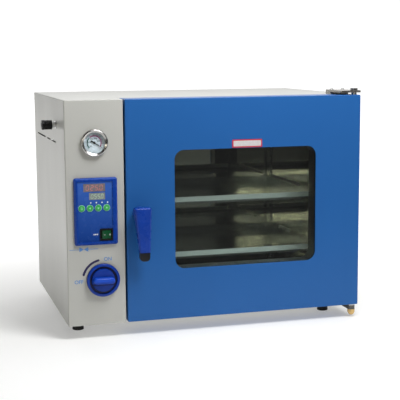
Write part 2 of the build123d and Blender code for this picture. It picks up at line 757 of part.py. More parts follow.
# ---------------------------------------------------------------- door
def make_door_skin():
    skin = block((DOOR_LEFT, CASE_W), (0, DOOR_T), (0, CASE_H))
    skin = fillet(skin.edges().filter_by(Axis.Y), DOOR_EDGE_R)
    skin = fillet(skin.faces().sort_by(Axis.Y)[0].edges(), DOOR_FACE_R)
    skin -= block((DOOR_LEFT + SHEET, CASE_W - SHEET), (SHEET, DOOR_T + CUT), (SHEET, CASE_H - SHEET))
    skin -= window_panel(0, (-CUT, SHEET + CUT))
    skin -= rod((LEVER_X, -CUT, LEVER_Z), BACKWARD, SPINDLE_R + RUN_GAP, SHEET + 2 * CUT)
    return skin - rod((HINGE_X, HINGE_INSET_Y, -CUT), UP, HINGE_PIN_R + FIT_GAP, CASE_H + 2 * CUT)


def make_window_gasket():
    outer = PANE_OVERLAP + GASKET_EDGE
    gasket = window_panel(outer, (SHEET, GASKET_BACK), WINDOW_R + outer)
    groove_y = (SHEET + GASKET_FACE, SHEET + GASKET_FACE + PANE_T)
    gasket -= window_panel(GASKET_REVEAL, (0, DOOR_T), WINDOW_R + GASKET_REVEAL)
    return gasket - window_panel(PANE_OVERLAP + FIT_GAP, groove_y, WINDOW_R + PANE_OVERLAP + FIT_GAP)


def make_window_glass():
    y = (SHEET + GASKET_FACE, SHEET + GASKET_FACE + PANE_T)
    return window_panel(PANE_OVERLAP, y, WINDOW_R + PANE_OVERLAP)


def make_door_inner_plate():
    """One pressed sheet: the rim, the rebate for the thick glass and the tunnel to the window."""
    rim_y = (DOOR_T - SHEET, DOOR_T)
    plate = block((DOOR_LEFT + SHEET, CASE_W - SHEET), rim_y, (SHEET, CASE_H - SHEET))
    plate += glass_panel(GLASS_CLEAR + SHEET, (LEDGE_FRONT, DOOR_T))
    plate -= glass_panel(GLASS_CLEAR, (DOOR_T - GLASS_T, DOOR_T + CUT))
    tunnel_y = (GASKET_BACK, LEDGE_FRONT + CUT)
    reveal = GASKET_REVEAL + SHEET
    plate += window_panel(reveal, tunnel_y, WINDOW_R + reveal)
    plate -= window_panel(GASKET_REVEAL, (0, DOOR_T + CUT), WINDOW_R + GASKET_REVEAL)
    return plate - rod((LEVER_X, 0, LEVER_Z), BACKWARD, SPINDLE_R + RUN_GAP, DOOR_T + CUT)


def make_vacuum_glass():
    return glass_panel(0, (DOOR_T - GLASS_T, DOOR_T))


def hinge_block_boxes(extra):
    x = (CASE_W - SHEET - HINGE_BLOCK_W - extra, CASE_W - SHEET + min(extra, 0))
    y = (SHEET, SHEET + HINGE_BLOCK_D + extra)
    yield block(x, y, (CASE_H - SHEET - HINGE_BLOCK_H - extra, CASE_H - SHEET))
    yield block(x, y, (SHEET, SHEET + HINGE_BLOCK_H + extra))


def make_hinge_blocks():
    bore = rod((HINGE_X, HINGE_INSET_Y, -CUT), UP, HINGE_PIN_R + RUN_GAP, CASE_H + 2 * CUT)
    return [solid - bore for solid in hinge_block_boxes(0)]


def make_door_insulation():
    x = (DOOR_LEFT + SHEET + SOFT_GAP, CASE_W - SHEET - SOFT_GAP)
    y = (SHEET + SOFT_GAP, DOOR_T - SHEET - SOFT_GAP)
    z = (SHEET + SOFT_GAP, CASE_H - SHEET - SOFT_GAP)
    wool = block(x, y, z) - glass_panel(GLASS_CLEAR + SHEET + SOFT_GAP, (0, DOOR_T))
    for room in hinge_block_boxes(SOFT_GAP):
        wool -= room
    return wool - rod((LEVER_X, 0, LEVER_Z), BACKWARD, SPINDLE_R + HOLE_GAP, DOOR_T)


def make_upper_hinge_plate():
    x = (CASE_W + PLATE_OVERHANG - PLATE_W, CASE_W + PLATE_OVERHANG)
    back = PLATE_FRONT + PLATE_D
    top = (CASE_H + PLATE_LIFT, CASE_H + PLATE_LIFT + PLATE_T)
    plate = block(x, (PLATE_FRONT, back), top)
    plate = fillet(plate.edges().filter_by(Axis.Z), PLATE_R)
    foot = block((x[0], x[0] + PLATE_FOOT_W), (back - PLATE_FOOT_D, back), (CASE_H, top[0]))
    plate += fillet(foot.edges().filter_by(Axis.Z), PLATE_R)
    plate -= rod((HINGE_X, HINGE_INSET_Y, CASE_H), UP, HINGE_PIN_R + FIT_GAP, PLATE_LIFT + PLATE_T + CUT)
    for sx, sy in plate_screw_places():
        plate -= rod((sx, sy, CASE_H - CUT), UP, PLATE_SCREW_R + FIT_GAP, PLATE_LIFT + PLATE_T + 2 * CUT)
    return plate


def make_lower_hinge_arm():
    """A bar under the case, stepped down in front so that the door clears it."""
    back = PLATE_FRONT + PLATE_D
    x = (HINGE_X - ARM_R, HINGE_X + ARM_R)
    low = -ARM_DROP - ARM_T
    arm = block(x, (HINGE_INSET_Y, back), (low, -ARM_DROP))
    arm += rod((HINGE_X, HINGE_INSET_Y, low), UP, ARM_R, ARM_T)
    arm += block(x, (CASE_FRONT + ARM_STEP_INSET, back), (-ARM_DROP - CUT, 0))
    return arm - rod((HINGE_X, HINGE_INSET_Y, low - CUT), UP, HINGE_PIN_R + FIT_GAP, ARM_T + 2 * CUT)


def make_hinge_pins():
    """The shouldered bolt through the upper plate, and the shouldered stud through the arm."""
    plate_top = CASE_H + PLATE_LIFT + PLATE_T
    length = HINGE_PIN_IN + plate_top - CASE_H
    upper = rod((HINGE_X, HINGE_INSET_Y, CASE_H - HINGE_PIN_IN), UP, HINGE_PIN_R, length)
    upper += hexagon((HINGE_X, HINGE_INSET_Y, plate_top), UP, BOLT_HEAD_AF, BOLT_HEAD_H)
    upper += rod((HINGE_X, HINGE_INSET_Y, CASE_H + SOFT_GAP), UP, BOLT_COLLAR_R, PLATE_LIFT - SOFT_GAP)
    low = -ARM_DROP - ARM_T - NUT_H - PIN_IN_DOME
    lower = rod((HINGE_X, HINGE_INSET_Y, low), UP, HINGE_PIN_R, HINGE_PIN_IN - low)
    lower += rod((HINGE_X, HINGE_INSET_Y, -ARM_DROP), UP, ARM_R, ARM_DROP - SOFT_GAP)
    return [upper, lower]


def make_hinge_dome_nut():
    top = -ARM_DROP - ARM_T
    centre = (HINGE_X, HINGE_INSET_Y, top - NUT_H)
    nut = hexagon(centre, UP, NUT_AF, NUT_H)
    dome = Pos(*centre) * Sphere(NUT_DOME_R)
    nut += dome & rod(centre, DOWN, NUT_AF, NUT_DOME_R)
    depth = NUT_H + PIN_IN_DOME + FIT_GAP
    return nut - rod((HINGE_X, HINGE_INSET_Y, top), DOWN, HINGE_PIN_R + FIT_GAP, depth)


# ---------------------------------------------------------------- door lever and latch
def lever_section(z, x, width, thickness):
    plane = Plane(origin=(x, -LEVER_STAND - thickness / 2, z))
    return plane * RectangleRounded(width, thickness, LEVER_EDGE_R)


def arm_bar(margin):
    """The flat steel bar inside the grip, from the spindle down to its end."""
    half = ARM_BAR_W / 2 + margin
    low = LEVER_END_Z - margin
    outline = Polyline(
        (LEVER_X - half, LEVER_Z),
        (LEVER_X + half, LEVER_Z),
        (LEVER_X + LEVER_LEAN + half, low),
        (LEVER_X + LEVER_LEAN - half, low),
        close=True,
    )
    plane = Plane(origin=(0, LEVER_FACE, 0), x_dir=RIGHT, z_dir=FORWARD)
    return extrude(plane * make_face(outline), amount=ARM_BAR_T / 2 + margin, both=True)


def arm_tip():
    """The round-ended foot of the steel bar, which shows under the grip."""
    x = LEVER_X + LEVER_LEAN
    tip = block(
        (x - ARM_TIP_W / 2, x + ARM_TIP_W / 2),
        (LEVER_FACE - ARM_TIP_T / 2, LEVER_FACE + ARM_TIP_T / 2),
        (LEVER_END_Z - ARM_TIP_L, LEVER_END_Z),
    )
    tip = fillet(edges_at(tip, Axis.Y, z=(0, LEVER_END_Z - CUT)), ARM_TIP_R)
    return chamfer(tip.faces().sort_by(Axis.Y)[0].edges(), EDGE_CHAMFER)


def make_door_lever():
    top = lever_section(LEVER_Z + LEVER_ABOVE, LEVER_X, LEVER_TOP_W, LEVER_TOP_T)
    end = lever_section(LEVER_END_Z, LEVER_X + LEVER_LEAN, LEVER_END_W, LEVER_END_T)
    grip = loft([end, top])
    crown = grip.faces().sort_by(Axis.Z)[-1]
    grip = fillet(crown.edges(), LEVER_CROWN_R)
    grip += rod((LEVER_X, -HUB_GAP, LEVER_Z), FORWARD, HUB_R, LEVER_STAND + LEVER_END_T / 2)
    grip -= arm_bar(FIT_GAP)
    bore_end = LEVER_FACE - ARM_BAR_T / 2 - FIT_GAP
    return grip - rod((LEVER_X, bore_end, LEVER_Z), BACKWARD, SPINDLE_R + FIT_GAP, -bore_end)


def make_lever_spindle():
    start = LEVER_FACE - ARM_BAR_T / 2
    spindle = rod((LEVER_X, start, LEVER_Z), BACKWARD, SPINDLE_R, CAM_FRONT - start)
    spindle += rod((LEVER_X, CAM_FRONT, LEVER_Z), BACKWARD, CAM_NECK_R, CAM_T)
    back = (LEVER_X, CAM_FRONT + CAM_T, LEVER_Z)
    spindle += rod(back, BACKWARD, CAM_W / 2, CAM_WASHER_T)
    return spindle + arm_bar(0) + arm_tip()


def make_latch_cam():
    cam = panel(CAM_W, CAM_L, CAM_R, LEVER_X, LEVER_Z, (CAM_FRONT, CAM_FRONT + CAM_T))
    return cam - rod((LEVER_X, CAM_FRONT - CUT, LEVER_Z), BACKWARD, CAM_NECK_R + FIT_GAP, CAM_T + 2 * CUT)


def make_latch_keeper():
    rim = SLOT_SIDE + KEEPER_RIM
    y = (FRAME_BACK, FRAME_BACK + KEEPER_T)
    keeper = panel(CAM_W + 2 * rim, CAM_L + 2 * rim, KEEPER_RIM, LEVER_X, LEVER_Z, y)
    return keeper - latch_slot(0, (FRAME_BACK - CUT, FRAME_BACK + KEEPER_T + CUT))


# ---------------------------------------------------------------- gauge
def make_gauge_case():
    profile = [
        (0, 0), (GAUGE_R - SHEET, 0), (GAUGE_R - SHEET, GAUGE_FLANGE_T),
        (GAUGE_CASE_R, GAUGE_FLANGE_T), (GAUGE_CASE_R, GAUGE_CASE_D), (0, GAUGE_CASE_D),
    ]
    case = turned(profile, (PANEL_MID, -GAUGE_FLANGE_T, GAUGE_Z), BACKWARD)
    floor = DIAL_DEPTH + DIAL_T
    front = (PANEL_MID, -GAUGE_FLANGE_T, GAUGE_Z)
    case -= rod(front, BACKWARD, GAUGE_CASE_R - GAUGE_WALL, floor)
    case += rod((PANEL_MID, GAUGE_CASE_D - GAUGE_FLANGE_T, GAUGE_Z), BACKWARD, GAUGE_STEM_R, GAUGE_STEM_L)
    stem_end = GAUGE_CASE_D - GAUGE_FLANGE_T + GAUGE_STEM_L
    case -= rod((PANEL_MID, stem_end, GAUGE_Z), FORWARD, PIPE_R + FIT_GAP, PIPE_DEPTH_IN)
    return case - rod(front, BACKWARD, NEEDLE_PIN_R + RUN_GAP, floor + NEEDLE_PIN_L)


def make_gauge_dial():
    start = (PANEL_MID, DIAL_DEPTH - GAUGE_FLANGE_T, GAUGE_Z)
    dial = rod(start, BACKWARD, GAUGE_CASE_R - GAUGE_WALL - FIT_GAP, DIAL_T)
    return dial - rod(start, BACKWARD, NEEDLE_PIN_R + FIT_GAP, DIAL_T)


def make_gauge_needle():
    face = DIAL_DEPTH - GAUGE_FLANGE_T - NEEDLE_LIFT
    outline = Polyline(
        (-NEEDLE_TAIL_L, -NEEDLE_TAIL_W / 2),
        (0, -NEEDLE_TIP_W),
        (NEEDLE_TIP_L, -NEEDLE_TIP_W / 2),
        (NEEDLE_TIP_L, NEEDLE_TIP_W / 2),
        (0, NEEDLE_TIP_W),
        (-NEEDLE_TAIL_L, NEEDLE_TAIL_W / 2),
        close=True,
    )
    pointing = (cos(radians(NEEDLE_ANGLE)), 0, sin(radians(NEEDLE_ANGLE)))
    plane = Plane(origin=(PANEL_MID, face, GAUGE_Z), x_dir=pointing, z_dir=FORWARD)
    needle = extrude(plane * make_face(outline), amount=NEEDLE_T)
    needle += rod((PANEL_MID, face - NEEDLE_T, GAUGE_Z), BACKWARD, NEEDLE_HUB_R, NEEDLE_T)
    return needle + rod((PANEL_MID, face, GAUGE_Z), BACKWARD, NEEDLE_PIN_R, NEEDLE_PIN_L)


def make_gauge_lens():
    start = (PANEL_MID, -GAUGE_FLANGE_T - GAUGE_LENS_T, GAUGE_Z)
    return rod(start, BACKWARD, GAUGE_R - 2 * SHEET, GAUGE_LENS_T)


def make_gauge_bezel():
    """A rolled ring: round outside, with a sloping inner lip that holds the lens."""
    lens_front = GAUGE_FLANGE_T + GAUGE_LENS_T
    outside = GAUGE_R - SHEET + FIT_GAP
    with BuildSketch(Plane.XZ) as section:
        with BuildLine():
            Polyline((outside, 0), (GAUGE_R, 0), (GAUGE_R, GAUGE_PROUD / 2))
            ThreePointArc(
                (GAUGE_R, GAUGE_PROUD / 2),
                (GAUGE_R - SHEET, GAUGE_PROUD - GAUGE_ROLL),
                (GAUGE_R - 2 * SHEET, GAUGE_PROUD),
            )
            Polyline(
                (GAUGE_R - 2 * SHEET, GAUGE_PROUD),
                (GAUGE_FACE_R, lens_front + GAUGE_LIP_T),
                (GAUGE_FACE_R, lens_front),
                (outside, lens_front),
                (outside, 0),
            )
        make_face()
    ring = revolve(section.sketch, Axis.Z)
    return Plane(origin=(PANEL_MID, 0, GAUGE_Z), z_dir=FORWARD) * ring


# ---------------------------------------------------------------- controller
def bezel_x():
    return PANEL_MID - BEZEL_W / 2, PANEL_MID + BEZEL_W / 2


def bezel_z():
    return BEZEL_Z - BEZEL_H / 2, BEZEL_Z + BEZEL_H / 2


def display_box(display, grow, y):
    x, z, width, height = display
    middle_x, middle_z = PANEL_MID + x, BEZEL_Z + z
    half_w, half_h = width / 2 + grow, height / 2 + grow
    return block((middle_x - half_w, middle_x + half_w), y, (middle_z - half_h, middle_z + half_h))


def key_start(offset, y):
    return PANEL_MID + offset, y, BEZEL_Z + KEY_Z


def lamp_starts(y):
    for count in range(LAMP_COUNT):
        yield PANEL_MID + LAMP_START + count * LAMP_PITCH, y, BEZEL_Z + LAMP_Z


def switch_box(inset, y):
    x, z = PANEL_MID + SWITCH_X, BEZEL_Z + SWITCH_Z
    return panel(SWITCH_W - 2 * inset, SWITCH_H - 2 * inset, SWITCH_R, x, z, y)


def make_controller_bezel():
    low_x, high_x = bezel_x()
    low_z, high_z = bezel_z()
    bezel = panel(BEZEL_W, BEZEL_H, BEZEL_R, PANEL_MID, BEZEL_Z, (-BEZEL_PROUD, 0))
    bezel = chamfer(bezel.faces().sort_by(Axis.Y)[0].edges(), BEZEL_CHAMFER)
    sleeve_x = (low_x + SLEEVE_INSET, high_x - SLEEVE_INSET)
    sleeve_z = (low_z + SLEEVE_INSET, high_z - SLEEVE_INSET)
    bezel += block(sleeve_x, (0, SLEEVE_D), sleeve_z)
    bezel -= block(
        (sleeve_x[0] + SLEEVE_WALL, sleeve_x[1] - SLEEVE_WALL),
        (BEZEL_INSIDE, SLEEVE_D + CUT),
        (sleeve_z[0] + SLEEVE_WALL, sleeve_z[1] - SLEEVE_WALL),
    )
    bezel -= block(
        (low_x + BEZEL_RIM, high_x - BEZEL_RIGHT_RIM),
        (-BEZEL_PROUD - CUT, BEZEL_FACE),
        (low_z + BEZEL_RIM, high_z - BEZEL_RIM),
    )
    through = (-BEZEL_PROUD - CUT, BEZEL_INSIDE + CUT)
    for display in (UPPER_DISPLAY, LOWER_DISPLAY):
        bezel -= display_box(display, FIT_GAP, through)
    for offset in KEY_OFFSETS:
        bezel -= rod(key_start(offset, through[0]), BACKWARD, KEY_R + SOFT_GAP, through[1] - through[0])
    for start in lamp_starts(through[0]):
        bezel -= rod(start, BACKWARD, LAMP_R + FIT_GAP, through[1] - through[0])
    return bezel - switch_box(SWITCH_RIM - FIT_GAP, through)


def make_controller_board():
    low_x, high_x = bezel_x()
    low_z, high_z = bezel_z()
    inset = SLEEVE_INSET + SLEEVE_WALL + BOARD_GAP
    board = block(
        (low_x + inset, high_x - inset),
        (BOARD_Y, BOARD_Y + BOARD_T),
        (low_z + inset, high_z - inset),
    )
    front = BEZEL_INSIDE + KEY_TRAVEL + KEY_BOARD_GAP
    for offset in KEY_OFFSETS:
        contact = key_start(offset, front + KEY_TRAVEL)
        board += rod(contact, BACKWARD, KEY_R / 2, BOARD_Y - front - KEY_TRAVEL)
    for side in (low_x + inset, high_x - inset - BEZEL_RIM / 2):
        post_z = (high_z - inset - BEZEL_RIM, high_z - inset)
        board += block((side, side + BEZEL_RIM / 2), (BEZEL_INSIDE, BOARD_Y), post_z)
    return board - switch_box(SWITCH_RIM - BOARD_GAP, (BOARD_Y - CUT, BOARD_Y + BOARD_T + CUT))


def make_display(display):
    return display_box(display, 0, (BEZEL_FACE + DISPLAY_DEPTH, BOARD_Y))


def make_indicator_lamps():
    lamps = []
    for start in lamp_starts(BEZEL_FACE - LAMP_PROUD):
        lamp = rod(start, BACKWARD, LAMP_R, BOARD_Y - start[1])
        lamps.append(fillet(lamp.edges().sort_by(Axis.Y)[0], LAMP_PROUD / 2))
    return lamps


def make_key(offset):
    cap_front = BEZEL_FACE - KEY_PROUD
    flange = BEZEL_INSIDE + SOFT_GAP
    key = rod(key_start(offset, cap_front), BACKWARD, KEY_R, flange - cap_front)
    key = fillet(key.edges().sort_by(Axis.Y)[0], KEY_PROUD / 2)
    return key + rod(key_start(offset, flange), BACKWARD, KEY_R + KEY_FLANGE, KEY_FLANGE_T)


def make_switch_frame():
    front = BEZEL_FACE - SWITCH_RIM
    frame = panel(
        SWITCH_W, SWITCH_H, SWITCH_R, PANEL_MID + SWITCH_X, BEZEL_Z + SWITCH_Z, (front, BEZEL_FACE)
    )
    frame += switch_box(SWITCH_RIM, (BEZEL_FACE, SWITCH_BODY_D))
    middle = rocker_pivot()
    half_h = ROCKER_H / 2 + ROCKER_GAP
    room = rod((middle[0], middle[1], middle[2] - half_h), UP, ROCKER_R + ROCKER_GAP, 2 * half_h)
    room_x = (middle[0] - ROCKER_R - ROCKER_GAP, middle[0] + ROCKER_R + ROCKER_GAP)
    room_z = (middle[2] - half_h, middle[2] + half_h)
    frame -= room + block(room_x, (front - CUT, middle[1]), room_z)
    return frame


def rocker_pivot():
    """The middle of the rocker's axle."""
    return PANEL_MID + SWITCH_X, BEZEL_FACE + ROCKER_AXLE_IN, BEZEL_Z + SWITCH_Z


def make_power_rocker():
    """A dished rocker with round ends about its upright axle, tilted to its left-hand stop."""
    face = SWITCH_PROUD
    drum = Cylinder(ROCKER_R, ROCKER_H)
    keep = Pos(0, (ROCKER_FACE - face) / 2, 0) * Box(2 * ROCKER_R, ROCKER_FACE + face, ROCKER_H)
    dish_r = ROCKER_R * ROCKER_R / ROCKER_DISH
    dish = Pos(0, -face - dish_r + ROCKER_DISH, 0) * Cylinder(dish_r, ROCKER_H)
    waist = [
        Pos(side * ROCKER_R, ROCKER_FACE, 0) * Cylinder(ROCKER_R / 2, ROCKER_H) for side in (-1, 1)
    ]
    rocker = (drum & keep) - dish - waist[0] - waist[1]
    return Pos(*rocker_pivot()) * Rot(0, 0, ROCKER_TILT) * rocker


# ---------------------------------------------------------------- vacuum valve and pipes
def make_valve_knob():
    """A skirted knob: a ring, a deep groove, and a raised core with a grip across it."""
    skirt = KNOB_RING_T
    groove = KNOB_RING_T - KNOB_GROOVE_D
    core = groove + KNOB_CORE_H
    profile = [
        (0, 0), (KNOB_R, 0), (KNOB_R, skirt - KNOB_CHAMFER), (KNOB_R - KNOB_CHAMFER, skirt),
        (KNOB_R - KNOB_RING_W, skirt), (KNOB_R - KNOB_RING_W - KNOB_GROOVE_SLOPE, groove),
        (KNOB_CORE_R, groove), (KNOB_CORE_TOP_R, core), (0, core),
    ]
    back = (KNOB_X, -KNOB_GAP, KNOB_Z)
    knob = turned(profile, back, FORWARD)
    foot = Plane(origin=(KNOB_X, KNOB_GROOVE_Y, KNOB_Z), x_dir=RIGHT, z_dir=FORWARD)
    reach = KNOB_CORE_H + KNOB_GRIP_H
    base = foot * SlotOverall(KNOB_GRIP_L + KNOB_GRIP_BASE_W - KNOB_GRIP_W, KNOB_GRIP_BASE_W)
    crest = foot.offset(reach) * SlotOverall(KNOB_GRIP_L, KNOB_GRIP_W)
    grip = loft([base, crest])
    knob += fillet(grip.faces().sort_by(Axis.Y)[0].edges(), KNOB_GRIP_R)
    knob -= rod(back, FORWARD, KNOB_CAVITY_R, KNOB_CAVITY_D)
    return knob - rod(back, FORWARD, VALVE_SPINDLE_R + FIT_GAP, KNOB_BORE_D)


def make_valve_spindle():
    front = -KNOB_GAP - KNOB_BORE_D + FIT_GAP
    return rod((KNOB_X, front, KNOB_Z), BACKWARD, VALVE_SPINDLE_R, VALVE_SPINDLE_L)


def make_vacuum_valve_body():
    half = VALVE_BODY / 2
    y = (SHEET, SHEET + VALVE_BODY_D)
    body = block((KNOB_X - half, KNOB_X + half), y, (KNOB_Z - half, KNOB_Z + half))
    body = chamfer(body.edges().filter_by(Axis.Y), VALVE_CHAMFER)
    body += rod((KNOB_X, -VALVE_NECK_OUT, KNOB_Z), BACKWARD, VALVE_NECK_R, VALVE_NECK_OUT + SHEET)
    body += rod((KNOB_X, y[1], KNOB_Z), BACKWARD, STUB_R, VALVE_GAP)
    body += rod((KNOB_X, valve_port_y(), KNOB_Z + half), UP, STUB_R, VALVE_GAP)
    bore_l = VALVE_SPINDLE_L - KNOB_BORE_D - KNOB_GAP + VALVE_NECK_OUT + CUT
    body -= rod((KNOB_X, -VALVE_NECK_OUT, KNOB_Z), BACKWARD, VALVE_SPINDLE_R + RUN_GAP, bore_l)
    body -= rod((KNOB_X, y[1] + VALVE_GAP, KNOB_Z), FORWARD, PIPE_R + FIT_GAP, PIPE_DEPTH_IN)
    top = (KNOB_X, valve_port_y(), KNOB_Z + half + VALVE_GAP)
    return body - rod(top, DOWN, PIPE_R + FIT_GAP, PIPE_DEPTH_IN)


def valve_port_y():
    return SHEET + VALVE_BODY_D - STUB_R - VALVE_GAP


def make_chamber_pipe():
    low = KNOB_Z + VALVE_BODY / 2 + VALVE_GAP - PIPE_DEPTH_IN + FIT_GAP
    return tube([
        (KNOB_X, valve_port_y(), low),
        (KNOB_X, valve_port_y(), CHAMBER_PIPE_Z),
        (KNOB_X, CHAMBER_PIPE_Y, CHAMBER_PIPE_Z),
        (CHAMBER_LEFT, CHAMBER_PIPE_Y, CHAMBER_PIPE_Z),
    ])


def make_pump_pipe():
    start = SHEET + VALVE_BODY_D + VALVE_GAP - PIPE_DEPTH_IN + FIT_GAP
    end = CASE_D - SHEET - PORT_SHANK_L + PIPE_DEPTH_IN - FIT_GAP
    return tube([(KNOB_X, start, KNOB_Z), (KNOB_X, end, KNOB_Z)])


def make_gauge_pipe():
    start = GAUGE_CASE_D - GAUGE_FLANGE_T + GAUGE_STEM_L - PIPE_DEPTH_IN + FIT_GAP
    return tube([
        (PANEL_MID, start, GAUGE_Z),
        (PANEL_MID, GAUGE_PIPE_Y, GAUGE_Z),
        (PANEL_MID, GAUGE_PIPE_Y, GAUGE_PIPE_Z),
        (CHAMBER_LEFT, GAUGE_PIPE_Y, GAUGE_PIPE_Z),
    ])


def make_vent_pipe():
    start = SHEET + VENT_INSIDE - PIPE_DEPTH_IN + FIT_GAP
    return tube([
        (start, VENT_Y, VENT_Z),
        (VENT_PIPE_X, VENT_Y, VENT_Z),
        (VENT_PIPE_X, VENT_Y, VENT_PIPE_Z),
        (CHAMBER_LEFT, VENT_Y, VENT_PIPE_Z),
    ])


def make_pump_port():
    profile = [
        (PORT_BORE_R, -PORT_SHANK_L - SHEET), (PORT_SHANK_R, -PORT_SHANK_L - SHEET),
        (PORT_SHANK_R, 0), (PORT_FLANGE_R, 0), (PORT_FLANGE_R, PORT_FLANGE_T - EDGE_CHAMFER),
        (PORT_FLANGE_R - EDGE_CHAMFER, PORT_FLANGE_T), (PORT_R, PORT_FLANGE_T),
        (PORT_R, PORT_FLANGE_T + PORT_L), (PORT_BORE_R, PORT_FLANGE_T + PORT_L),
    ]
    port = turned(profile, (KNOB_X, CASE_D, KNOB_Z), BACKWARD)
    inner = (KNOB_X, CASE_D - PORT_SHANK_L - SHEET, KNOB_Z)
    return port - rod(inner, BACKWARD, PIPE_R + FIT_GAP, PIPE_DEPTH_IN)


def make_vent_valve_body():
    neck = rod((-VENT_NECK_L, VENT_Y, VENT_Z), RIGHT, VENT_NECK_R, VENT_NECK_L + SHEET + VENT_INSIDE)
    body = neck + rod((0, VENT_Y, VENT_Z), LEFT, VENT_FLANGE_R, VENT_FLANGE_T)
    body += rod((SHEET, VENT_Y, VENT_Z), RIGHT, VENT_FLANGE_R, VENT_FLANGE_T)
    body -= rod((SHEET + VENT_INSIDE, VENT_Y, VENT_Z), LEFT, PIPE_R + FIT_GAP, PIPE_DEPTH_IN)
    depth = VENT_NECK_L + PIPE_DEPTH_IN
    return body - rod((-VENT_NECK_L, VENT_Y, VENT_Z), RIGHT, PIPE_BORE_R + RUN_GAP, depth)


def make_vent_knob():
    """A fluted knob with a wider outer end and a stem that screws into the valve."""
    start = -VENT_NECK_L - SOFT_GAP
    length = VENT_KNOB_L - VENT_KNOB_END_L
    knob = rod((start, VENT_Y, VENT_Z), LEFT, VENT_KNOB_R, length)
    for count in range(VENT_FLUTES):
        angle = radians(360 / VENT_FLUTES * count)
        place = (start, VENT_Y + VENT_KNOB_R * cos(angle), VENT_Z + VENT_KNOB_R * sin(angle))
        knob -= rod(place, LEFT, VENT_FLUTE_R, length)
    end = rod((start - length, VENT_Y, VENT_Z), LEFT, VENT_KNOB_END_R, VENT_KNOB_END_L)
    knob += fillet(end.edges().sort_by(Axis.X)[0], EDGE_CHAMFER)
    return knob + rod((start, VENT_Y, VENT_Z), RIGHT, PIPE_BORE_R, VENT_NECK_L + VENT_STEM_IN)


# ---------------------------------------------------------------- electrics
def make_cable_gland():
    shank = rod((GLAND_X, CASE_D - SHEET - GLAND_IN, GLAND_Z), BACKWARD, GLAND_SHANK_R, GLAND_IN + SHEET)
    gland = shank + hexagon((GLAND_X, CASE_D, GLAND_Z), BACKWARD, GLAND_NUT_AF, GLAND_NUT_T)
    start = (GLAND_X, CASE_D + GLAND_NUT_T, GLAND_Z)
    gland += rod(start, BACKWARD, GLAND_R, GLAND_CAP_L, GLAND_SHANK_R)
    gland += hexagon((GLAND_X, CASE_D - SHEET, GLAND_Z), FORWARD, GLAND_NUT_AF, GLAND_LOCK_T)
    bore = (GLAND_X, CASE_D - SHEET - GLAND_IN - CUT, GLAND_Z)
    return gland - rod(bore, BACKWARD, GLAND_BORE_R, GLAND_IN + SHEET + GLAND_OUT + 2 * CUT)


def make_fuse_holder():
    holder = rod((FUSE_X, CASE_D - FUSE_BODY_L, FUSE_Z), BACKWARD, FUSE_BODY_R, FUSE_BODY_L)
    cap = rod((FUSE_X, CASE_D, FUSE_Z), BACKWARD, FUSE_CAP_R, FUSE_CAP_L)
    cap = chamfer(cap.edges().sort_by(Axis.Y)[-1], EDGE_CHAMFER)
    end = CASE_D + FUSE_CAP_L
    slot_x = (FUSE_X - FUSE_CAP_R, FUSE_X + FUSE_CAP_R)
    slot_z = (FUSE_Z - FUSE_SLOT_W / 2, FUSE_Z + FUSE_SLOT_W / 2)
    slot = block(slot_x, (end - EDGE_CHAMFER, end + CUT), slot_z)
    return holder + cap - slot


def make_solid_state_relay():
    x = (PANEL_W - RELAY_T, PANEL_W)
    relay = block(x, (RELAY_Y, RELAY_Y + RELAY_L), (RELAY_Z, RELAY_Z + RELAY_H))
    relay = chamfer(relay.faces().sort_by(Axis.X)[0].edges(), RELAY_CHAMFER)
    depth = TERMINAL_POCKET_D + CUT
    for y in (RELAY_Y + TERMINAL_PITCH, RELAY_Y + RELAY_L - TERMINAL_PITCH):
        for z in (RELAY_Z + TERMINAL_PITCH, RELAY_Z + RELAY_H - TERMINAL_PITCH):
            relay -= rod((x[0] - CUT, y, z), RIGHT, TERMINAL_POCKET_R, depth)
    return relay


def make_terminal_block():
    length = TERMINAL_COUNT * TERMINAL_PITCH
    strip = block(
        (TERMINAL_X, TERMINAL_X + length),
        (TERMINAL_Y, TERMINAL_Y + TERMINAL_D),
        (SHEET, SHEET + TERMINAL_H),
    )
    for count in range(TERMINAL_COUNT):
        x = TERMINAL_X + TERMINAL_PITCH / 2 + count * TERMINAL_PITCH
        top = (x, TERMINAL_Y + TERMINAL_D / 2, SHEET + TERMINAL_H + CUT)
        strip -= rod(top, DOWN, TERMINAL_POCKET_R, TERMINAL_POCKET_D + CUT)
    return strip


